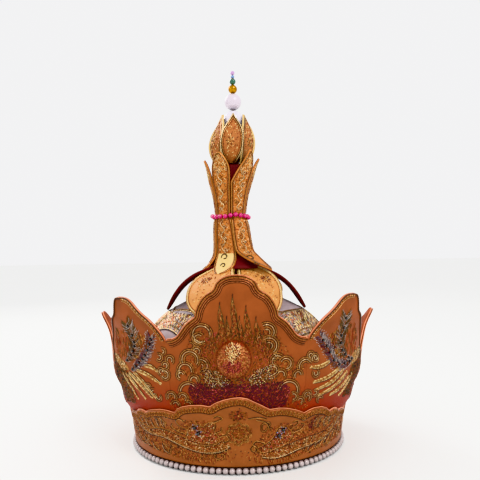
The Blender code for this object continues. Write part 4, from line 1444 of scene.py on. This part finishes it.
class CROWN_OT_base_petals(bpy.types.Operator):
    """Broad petals that lie down over the dome"""

    bl_idname = "crown.base_petals"
    bl_label = "Base petals"

    def execute(self, context):
        thickness = context.scene.crown_sizes.petal_thickness / MM
        random = generator("base")
        for index in range(6):
            lift, outer, flip = BASE_SHAPES.get(index, (3.0, WHOLE, 1))
            cloth = Cloth(BASE_PETAL, HALF_PETAL * (2 * index + 1))
            size = cloth.length

            def cupped(side, mark):
                share = np.clip((mark - size) / -size, 0.0, 1.0)
                return lift * np.clip(np.abs(side) / 24.0, 0.0, 1.3) ** 2 * (0.3 + 0.7 * share)

            def corner_lift(side, mark):
                rise = np.sin(math.pi * np.clip(mark / size, 0.0, 1.0)) ** 0.7
                return lift * np.clip(side / 24.0, 0.0, 1.2) ** 2 * rise

            cloth.bulge = cupped if index else corner_lift
            marks, first, last = leaf_edges(cloth, BASE_PETAL)
            trim = np.interp(marks / size, (0.0, 0.25, 0.55, 1.0), outer)
            edges = (marks, first, last * trim) if flip > 0 else (marks, first * trim, last)
            node = f"base_petal_{index + 1}"
            maroon = index in MAROON_EDGED
            rim = "lining" if maroon else "free_end"
            made = sew_sheet(node, cloth, edges, thickness, ("petal", rim, "lining"),
                             columns=16)
            work, line = Needlework(Spot(cloth), random), leaf_line(cloth, edges)
            work.herringbone(line, 1.5, 1.9, 0.7, "straw pale straw", 0.7)
            work.border(line, ((0.6, "rust" if maroon else "gold", 0.36),), TWIST)
            work.border(line, ((2.8, "copper", 0.32),))
            hand = -1.0 if index > 2 else 1.0
            middle = Spot(cloth, 8.5 * hand, cloth.mark_at(42.0, 147.5))
            work.on(middle).blossom(5.4, "plum", "rust")
            area = narrowed(cloth, edges, 0.7, 0.16, 0.85)
            work.sow(area, 3.4, "copper rust straw", 2.0, 1.0, 1.0, 0.6)
            work.make(node + "_edging")
        return {"FINISHED"}


class CROWN_OT_stem_petals(bpy.types.Operator):
    """Strips bound at the waist, turned out at both ends"""

    bl_idname = "crown.stem_petals"
    bl_label = "Stem petals"

    def execute(self, context):
        thickness = context.scene.crown_sizes.petal_thickness / MM
        random = generator("stem")
        for index, (*tips, swing, cut, swell) in enumerate(STEM_PETALS):
            halves = ((*tips[:2], STEM_LOWER[::-1]), (*tips[2:], STEM_UPPER))
            rows = [(WAIST_RADIUS + (reach - WAIST_RADIUS) * out,
                     WAIST_HEIGHT + (tip - WAIST_HEIGHT) * way, HALF_PETAL * width)
                    for reach, tip, shares in halves for way, out, width in shares]
            rows.insert(len(STEM_LOWER), (WAIST_RADIUS, WAIST_HEIGHT, WAIST_WIDTH))
            cloth = Cloth(rows, HALF_PETAL * (2 * index + 1), bow=bowed)
            marks, first, last = leaf_edges(cloth, rows, swing)
            node = f"stem_petal_{index + 1}"
            waist = cloth.mark_at(WAIST_RADIUS, WAIST_HEIGHT)
            tip = waist * 0.42
            slant = (np.clip(1.0 - marks / tip / 1.2, 0.0, 1.0) * cut[0]
                     + np.clip((marks / marks[-1] - 0.76) / 0.2, 0.0, 1.0) * cut[1])
            edges = (marks, first + (last - first) * slant,
                     last + swell * np.sin(math.pi * np.clip(marks / waist, 0.0, 1.0)) ** 0.7)
            made = sew_sheet(node, cloth, edges, thickness, ("stem", "stem", "lining", "free_end"),
                             columns=9,
                             free_end=tip if index == TURNED_OVER else NOWHERE)
            work, line = Needlework(Spot(cloth), random), leaf_line(cloth, edges)
            rows = ((0.8, "gold", 0.36), (1.6, "dark", 0.2), (2.3, "copper", 0.28))
            work.border(line, rows, TWIST)
            for low, high in ((tip, waist - 4.0), (waist + 4.0, cloth.length - 16.0)):
                vine(work, low, high, 1.9, 11.0)
            area = narrowed(cloth, edges, 0.7, 0.2, 0.97)
            work.sow(area, 1.75, "pale rust gold bronze", 2.2, 1.2, 0.9, 0.5)
            # Paler gold and straw stitches near the upper tips are gold embroidery, and in part a
            # painted highlight where the turned-out tips catch the light.
            area = narrowed(cloth, edges, 0.8, 0.84, 0.985)
            work.sow(area, 1.6, "pale gold straw", 2.2, 1.6, 0.4, 0.55)
            for place, size in ((0.36, 3.8), (0.21, 3.0)):
                bend = Spot(cloth, 0.5 * (swing[0] + swell) * (1.0 - place), waist * place)
                curl = evenly(spiral(size, 0.9, 200.0, 1.0, 0.5))
                work.on(bend).couched(curl, 0.32, 0.75, "olive")
            work.make(node + "_edging")
        return {"FINISHED"}


class CROWN_OT_bud_petals(bpy.types.Operator):
    """Closed petals of the bud, edged with gold threads"""

    bl_idname = "crown.bud_petals"
    bl_label = "Bud petals"

    def execute(self, context):
        random = generator("bud")
        for index in range(6):
            tuck = 1.7 * (index % 2)
            rows = [(BUD_RADIUS * reach - tuck * math.sin(math.pi * rise),
                     BUD_FOOT + BUD_RISE * rise, (HALF_PETAL + 1.6 * tuck) * width)
                    for rise, reach, width in BUD_PETAL]
            cloth = Cloth(rows, HALF_PETAL * 2 * index, bow=bowed)
            edges = leaf_edges(cloth, rows)
            node = f"bud_petal_{index + 1}"
            made = sew_sheet(node, cloth, edges, BUD_THICKNESS, ("bud", "free_end", "lining"),
                             columns=9)
            work = Needlework(Spot(cloth), random)
            rows = ((0.9, "pale", 0.45), (1.7, "dark", 0.3), (2.6, "gold", 0.4),
                    (3.3, "rust", 0.28))
            work.border(leaf_line(cloth, edges), rows, TWIST)
            work.on(Spot(cloth, -4.0, cloth.length * 0.42)).blossom(4.3, "gold", "dark")
            area = narrowed(cloth, edges, 0.6, 0.12, 0.85)
            work.sow(area, 2.6, "straw rust gold", 1.9, 1.3, 0.8, 0.55)
            work.make(node + "_edging")
        return {"FINISHED"}


class CROWN_OT_beads(bpy.types.Operator):
    """Beads of the waist and the stack of beads on the spire"""

    bl_idname = "crown.beads"
    bl_label = "Beads"

    def execute(self, context):
        low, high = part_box("waist_beads")
        bead = (high.z - low.z) / 2.0 / MM
        ring = (high.x - low.x) / 2.0 / MM - bead
        turns = circle(context.scene.crown_sizes.waist_count)
        sway = 0.7 * np.sin(turns * 3.0 + 0.4) + 0.3 * np.sin(turns * 7.0)
        centres = bowed(hoop(ring, turns, (low.z + high.z) / 2.0 / MM + sway) * MM)
        work = Needlework(None)
        work.balls("magenta", centres, bead, 16, 10)
        string_of(work, "plum", np.vstack([centres, centres[:1]]), 0.35)
        made = work.make("waist_glass_beads", "magenta_bead")
        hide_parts("waist_beads")
        for node, item, slot_name in FINIAL:
            low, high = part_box(node)
            radius = (high.x - low.x) / 2.0 / MM
            bore = 1.1 if node != "lilac_bead" else 0.4
            end = math.acos(bore / radius)
            rows = radius * rays(np.linspace(-end, end, 26)) + [0.0, (low.z + high.z) / 2.0 / MM]
            ends = [[bore * 0.8, rows[0, 1] + 0.5], [bore * 0.8, rows[-1, 1] - 0.5]]
            made = turned(node + "_round", np.vstack([ends[:1], rows, ends[1:]]), 48, item)
            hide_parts(node)
        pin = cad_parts["finial_pin"]
        pin.data.materials.clear()
        pin.data.materials.append(finish("plated"))
        return {"FINISHED"}


def flame(work, base, tip, width):
    """A tongue of flame: a fill of upright stitches between two lines that meet."""
    base, tip = work.flat([base, tip])
    share = np.linspace(0.0, 1.0, 24)
    middle = base + (tip - base) * share[:, None]
    middle[:, 0] += 0.9 * np.sin(share * 5.0)
    half = width * 0.5 * (1.0 - share ** 1.6) * (0.82 + 0.18 * np.sin(share * 11.0))
    for hand in (-1.0, 1.0):
        line = middle + np.stack([hand * half, 0.0 * half], -1)
        work.thread("olive", evenly(line[3:]), 0.26)
        work.thread("dark", evenly((line + [-0.7 * hand, 0.0])[2:18]), 0.2)
    count = int(width * np.linalg.norm(tip - base) * 0.55)
    at, side = work.random.uniform(0.0, 0.9, count), work.random.uniform(-1.0, 1.0, count)
    places = np.stack([np.interp(at, share, middle[:, 0]) + side * np.interp(at, share, half),
                       np.interp(at, share, middle[:, 1])], -1)
    work.seeds(places, "olive bronze rust copper copper gold", 2.6, math.pi / 2.0, 0.2, 0.5)
    work.thread("dark", middle[-1] + np.array([(0.0, -1.0), (0.0, 1.2), (0.3, 2.4)]), 0.34)


class CROWN_OT_front_embroidery(bpy.types.Operator):
    """Flames, clouds and waves about the boss on the front panel"""

    bl_idname = "crown.front_embroidery"
    bl_label = "Front embroidery"

    def execute(self, context):
        work = Needlework(Spot(tier_cloth()), generator("front"))
        for angle, height, *shape in FRONT_ARCS:
            work.arcs(work.flat([(angle, height)])[0], *shape)
        for foot_angle, foot, tip_angle, tip, width in FLAMES:
            flame(work, (foot_angle, foot), (tip_angle, tip), width)
        boss = work.flat([BOSS])[0]
        for corners, spacing, items, reach, width in ZONES:
            places = work.scatter(work.flat(corners), spacing)
            places = places[np.linalg.norm(places - boss, axis=1) > BOSS_RADIUS + 0.5]
            away = places - boss
            heading = np.arctan2(away[:, 1], away[:, 0]) + math.pi / 2.0
            work.seeds(places, items, reach, heading, 0.5, width)
        work.make("panel_front_embroidery")
        return {"FINISHED"}


def plume(work, spine, reach, tilt, near, far, pale=None):
    """A tail plume: barbs of silk that slant up from a spine, with pale ends if wanted."""
    line = smooth_line(work.flat(spine), 0.62)
    along = unit(np.gradient(line, axis=0))
    count = len(line)
    share = np.linspace(0.0, 1.0, count)
    size = reach * np.minimum(1.0, 0.35 + 2.2 * np.minimum(share, 1.15 - share))
    for hand, items in ((1.0, near.split()), (-1.0, far.split())):
        turn = math.radians(tilt) * hand + work.random.normal(0.0, 0.1, count)
        away = np.stack([along[:, 0] * np.cos(turn) - along[:, 1] * np.sin(turn),
                         along[:, 0] * np.sin(turn) + along[:, 1] * np.cos(turn)], -1)
        ends = line + away * (size * work.random.uniform(0.8, 1.1, count))[:, None]
        picks = work.random.choice(len(items), count)
        for k, item in enumerate(items):
            work.stitches(item, (line + 0.3 * away)[picks == k], ends[picks == k], 0.5)
        if pale:
            work.stitches(pale, ends[1::2], (ends + away * 1.3)[1::2], 0.45)


def bird_beads(work, places):
    """Black glass beads, each in a ring of silver stitches."""
    radius = 1.15
    centres = work.flat(places)
    work.balls("black", work.spot.lay(centres, 0.7), radius, 10, 6)
    ring = rays(circle(7) + 0.3)
    starts, ends = ((centres[:, None] + ring * (radius + gap)).reshape(-1, 2)
                    for gap in (0.15, 1.15))
    chosen = work.random.random(len(starts)) < 0.7
    work.stitches("silver", starts[chosen], ends[chosen], 0.7, 0.6)


def feather(work, base, tip):
    """A long feather: a gold quill with a ladder of short raised stitches on each side."""
    base, tip = work.flat([base, tip])
    share = np.linspace(0.0, 1.0, 16)[:, None]
    side = sideways(np.array([base, tip]))[0]
    line = evenly(base + (tip - base) * share + side * 1.6 * np.sin(share * math.pi), 1.25)
    work.thread("gold", evenly(line), 0.36, TWIST)
    work.thread("dark", evenly(line + side * 0.7), 0.26)
    out, along = sideways(line), unit(np.gradient(line, axis=0))
    size = 1.7 * (0.5 + 0.5 * np.sin(np.linspace(0.4, math.pi, len(line))))[:, None]
    for hand in (1.0, -1.0):
        picks = work.random.random(len(line)) < 0.65
        starts, ends = line + out * hand * 0.3, line + out * hand * size + along * 1.3
        for item, chosen in (("straw", picks), ("gold", ~picks)):
            work.stitches(item, starts[chosen], ends[chosen], 0.75, 0.5)
    work.thread("dark", evenly(line + out * size * 1.25), 0.24)


class CROWN_OT_wing_embroidery(bpy.types.Operator):
    """A bird with a beaded tail on each wing panel"""

    bl_idname = "crown.wing_embroidery"
    bl_label = "Wing embroidery"

    def execute(self, context):
        upward = math.pi / 2.0
        wings = ("panel_front_right", 2.4), ("panel_front_left", 0.7)
        for (name, heading), bird in zip(wings, BIRDS):
            work = Needlework(Spot(tier_cloth()), generator("wings"))
            flat = work.flat
            work.sow(flat(bird["barbs"]), 3.0, "olive rust copper", 5.0, upward, 0.15, 0.3)
            work.sow(flat(bird["between"]), 1.25, "olive dark gold copper bronze rust", 3.6,
                     upward, 0.2, 0.5)
            for reach, tilt in ((12.0, 40.0), (9.5, 56.0), (6.0, 66.0)):
                plume(work, bird["upright"], reach, tilt, "olive bronze dark olive silver",
                      "olive olive bronze dark silver")
            for reach, tilt, pale in ((7.2, 46.0, "silver"), (5.4, 62.0, None)):
                plume(work, bird["slanted"], reach, tilt, "violet plum bronze violet",
                      "violet violet silver dark", pale)
            bird_beads(work, bird["beads"])
            for row in bird["feathers"]:
                feather(work, row[:2], row[2:])
            for k, place in enumerate(bird["rings"]):
                work.arcs(flat([place])[0], 3.5, 70.0 * k, 70.0 * k + 280.0, 2)
            work.sow(flat(bird["body"]), 1.1, "gold pale gold olive", 3.0, heading, 0.25, 1.0)
            work.sow(flat(bird["shade"]), 1.2, "olive dark dark bronze olive rust bronze", 2.4,
                     upward, 0.5, 0.7)
            work.make(name + "_embroidery")
        return {"FINISHED"}


def leaf_stroke(work, start, end):
    """A long leaf drawn with a gold line and dark and pale ones that meet it at both ends."""
    start, end = work.flat([start, end])
    share = np.linspace(0.0, 1.0, 12)[:, None]
    side = sideways(np.array([start, end]))[0]
    for hand, item, radius in ((1.0, "gold", 0.3), (-1.0, "dark", 0.34), (-1.7, "pale", 0.26)):
        line = start + (end - start) * share + side * hand * 1.6 * np.sin(share * math.pi) ** 0.8
        work.thread(item, evenly(line), radius)


def dragon(work, shape):
    """A dragon: a scaled body with belly bars and fins, a maned head, horns and whiskers."""
    flat, random, back = work.flat, work.random, shape["back"]
    work.sow(flat(shape["haze"]), 1.2, "copper bronze rust copper gold dark", 1.9,
             0.5 * back, 0.9, 0.5)
    line = smooth_line(flat(shape["body"]), 0.9)
    side = sideways(line) * back
    share = np.linspace(0.0, 1.0, len(line))
    half = (shape["width"] * (0.25 + 0.75 * np.clip(share * 2.2, 0.0, 1.0)))[:, None]
    upper, lower = line + side * half, line - side * half
    work.thread("dark", evenly(upper), 0.3, TWIST)
    work.thread("pale", evenly(lower), 0.3, TWIST)
    work.thread("dark", evenly(lower - side * 0.8), 0.32)
    bars = evenly(lower + side * 0.5, 1.15)
    work.stitches("gold", bars, bars + sideways(bars) * back * 1.6, 0.55, 0.5)
    heading = math.pi / 4.0 * back
    work.sow(np.vstack([upper, lower[::-1]]), 0.95, "copper bronze dark rust pale gold", 1.8,
             heading, 0.6, 0.6)
    fins = evenly(upper, 1.7)
    reach = sideways(fins) * back * random.uniform(1.6, 3.0, len(fins))[:, None]
    lean = -unit(np.gradient(fins, axis=0)) * 1.2
    work.stitches("rust", fins, fins + reach + lean, 0.9, 0.5)
    work.stitches("gold", fins + 0.3, fins + reach * 0.8 + lean, 0.5, 0.7)
    head = flat(shape["head"])
    work.sow(head, 0.95, "copper bronze rust dark rose pale", 1.8, heading, 1.0, 0.6)
    rim = np.vstack([head, head[:1]])
    work.thread("gold", smooth_line(rim), 0.34, TWIST)
    work.thread("dark", smooth_line(rim + [0.5, -0.5]), 0.3)
    for places in shape["threads"]:
        work.couched(smooth_line(flat(places)), 0.34, 0.7)
    for start, end in shape["strokes"]:
        leaf_stroke(work, start, end)
    places = work.scatter(flat(shape["claws"]), 2.4)
    count = len(places)
    hang = [random.normal(0.0, 0.6, count), -random.uniform(1.6, 3.2, count)]
    ends = places + np.stack(hang, -1)
    work.stitches("rust", places, ends, 0.8, 0.5)
    work.stitches("gold", places + [0.8, 0.2], ends + [0.8, 0.0], 0.6, 0.6)
    centres = flat(shape["eyes"])
    work.balls("black", work.spot.lay(centres, 0.6), 1.6, 12, 7)
    for k, item, far in ((0, "silver", 2.7), (1, "sky", 3.4), (2, "dark", 3.0)):
        ring = rays(circle(12))[k::3]
        starts, ends = ((centres[:, None] + ring * radius).reshape(-1, 2) for radius in (1.7, far))
        work.stitches(item, starts, ends, 0.8, 0.6)


class CROWN_OT_band_embroidery(bpy.types.Operator):
    """Two dragons that face a medallion on the brim band"""

    bl_idname = "crown.band_embroidery"
    bl_label = "Band embroidery"

    def execute(self, context):
        cloth = band_cloth()
        work = Needlework(Spot(cloth), generator("band"))
        for shape in DRAGONS:
            dragon(work, shape)
        medal, crest = work.on(Spot(cloth, *MEDAL)), work.on(Spot(cloth, *CREST))
        turns = np.linspace(0.0, math.tau, 41)
        medal.blossom(4.6, "bronze", "rust")
        for radius, wave in ((5.4, 0.6), (8.2, 1.0), (9.2, 1.0)):
            medal.couched(rays(turns) * (radius + wave * np.cos(turns * 8.0))[:, None], 0.26, 0.5)
        places = medal.scatter(rays(turns) * 10.2, 1.3)
        heading = np.arctan2(places[:, 1], places[:, 0])
        medal.seeds(places, "rust bronze gold copper", 1.6, heading, 0.4, 0.6)
        crest.blossom(4.0, "rust", "dark")
        crest.sow(rays(turns) * [7.4, 5.0], 1.5, "rust bronze dark", 2.0, 1.2, 0.8, 0.55)
        work.sow(work.flat(CRESCENT), 0.9, "plum rust dark", 2.0, 1.2, 0.3, 0.8)
        for cloud in BAND_CLOUDS:
            work.cloud_head(*cloud)
        for angle, height, radius, turns, facing, hand in BAND_CURLS:
            centre = work.flat([(angle, height)])[0]
            work.couched(evenly(centre + spiral(radius, turns, facing, hand, 0.25)), 0.32, 0.65)
        work.sow(work.flat(DUST), 3.4, "gold dark rust", 1.4, 0.6, 1.2, 0.6)
        work.make("brim_band_embroidery")
        return {"FINISHED"}


class CROWN_OT_stage(bpy.types.Operator):
    """Pale floor, soft studio lights and the camera"""

    bl_idname = "crown.stage"
    bl_label = "Stage"

    def execute(self, context):
        scene = context.scene
        # Neutral tones keep the cloth as saturated as it is under studio light.
        scene.view_settings.view_transform = "Khronos PBR Neutral"
        bpy.ops.mesh.primitive_plane_add(size=FLOOR_SIZE, location=(0.0, 0.0, 0.0))
        floor = context.object
        floor.name = "floor"
        # Painted board, rolled matt: it gives no gleam, only a slight unevenness of tone.
        paint = Finish("pale_floor", "Object", linear(FLOOR_TINT), 400.0, 0.985, 1.0,
                       {"Roughness": 0.6})
        floor.data.materials.append(paint.material)
        world = bpy.data.worlds.new("studio")
        world.use_nodes = True
        sky = world.node_tree.nodes["Background"].inputs
        sky["Color"].default_value = (*linear(SKY), 1.0)
        sky["Strength"].default_value = SKY_STRENGTH
        scene.world = world
        for name, place, aim, width, power in LIGHTS:
            light = bpy.data.lights.new(name, "AREA")
            light.size = width
            light.energy = power
            lamp = bpy.data.objects.new(name, light)
            lamp.location = place
            x, y, z = (a - b for a, b in zip(aim, place))
            lamp.rotation_euler = (math.atan2(math.hypot(x, y), -z), 0.0,
                                   math.atan2(y, x) - math.pi / 2.0)
            scene.collection.objects.link(lamp)
        lens = bpy.data.cameras.new("camera")
        for name, value in LENS.items():
            setattr(lens, name, value)
        camera = bpy.data.objects.new("camera", lens)
        camera.location = CAMERA_PLACE
        camera.rotation_euler = [math.radians(turn) for turn in CAMERA_TURN]
        scene.collection.objects.link(camera)
        scene.camera = camera
        return {"FINISHED"}


OPERATORS = (
    CROWN_OT_stage, CROWN_OT_cap, CROWN_OT_front_embroidery, CROWN_OT_wing_embroidery,
    CROWN_OT_panels, CROWN_OT_boss, CROWN_OT_band_embroidery, CROWN_OT_band, CROWN_OT_pearls,
    CROWN_OT_core, CROWN_OT_base_petals, CROWN_OT_stem_petals, CROWN_OT_bud_petals, CROWN_OT_beads,
)


class CROWN_PT_maker(bpy.types.Panel):
    """Sidebar panel with the sizes, the colours and a button for each piece"""

    bl_idname = "CROWN_PT_maker"
    bl_label = "Monk's crown"
    bl_space_type = "VIEW_3D"
    bl_region_type = "UI"
    bl_category = "Crown"

    def draw(self, context):
        layout = self.layout
        for group in (context.scene.crown_sizes, context.scene.crown_colours):
            column = layout.column(align=True)
            for name in group.__annotations__:
                column.prop(group, name)
        for operator in OPERATORS:
            layout.operator(operator.bl_idname)


CLASSES = (CrownSizes, CrownColours, *OPERATORS, CROWN_PT_maker)


def register():
    for item in CLASSES:
        bpy.utils.register_class(item)
    bpy.types.Scene.crown_sizes = bpy.props.PointerProperty(type=CrownSizes)
    bpy.types.Scene.crown_colours = bpy.props.PointerProperty(type=CrownColours)


def unregister():
    del bpy.types.Scene.crown_colours
    del bpy.types.Scene.crown_sizes
    for item in reversed(CLASSES):
        bpy.utils.unregister_class(item)


def main():
    register()
    bpy.ops.crown.stage()
    bpy.ops.crown.cap()
    bpy.ops.crown.front_embroidery()
    bpy.ops.crown.wing_embroidery()
    bpy.ops.crown.panels()
    bpy.ops.crown.boss()
    bpy.ops.crown.band_embroidery()
    bpy.ops.crown.band()
    bpy.ops.crown.pearls()
    bpy.ops.crown.core()
    bpy.ops.crown.base_petals()
    bpy.ops.crown.stem_petals()
    bpy.ops.crown.bud_petals()
    bpy.ops.crown.beads()


if __name__ == "__main__":
    main()
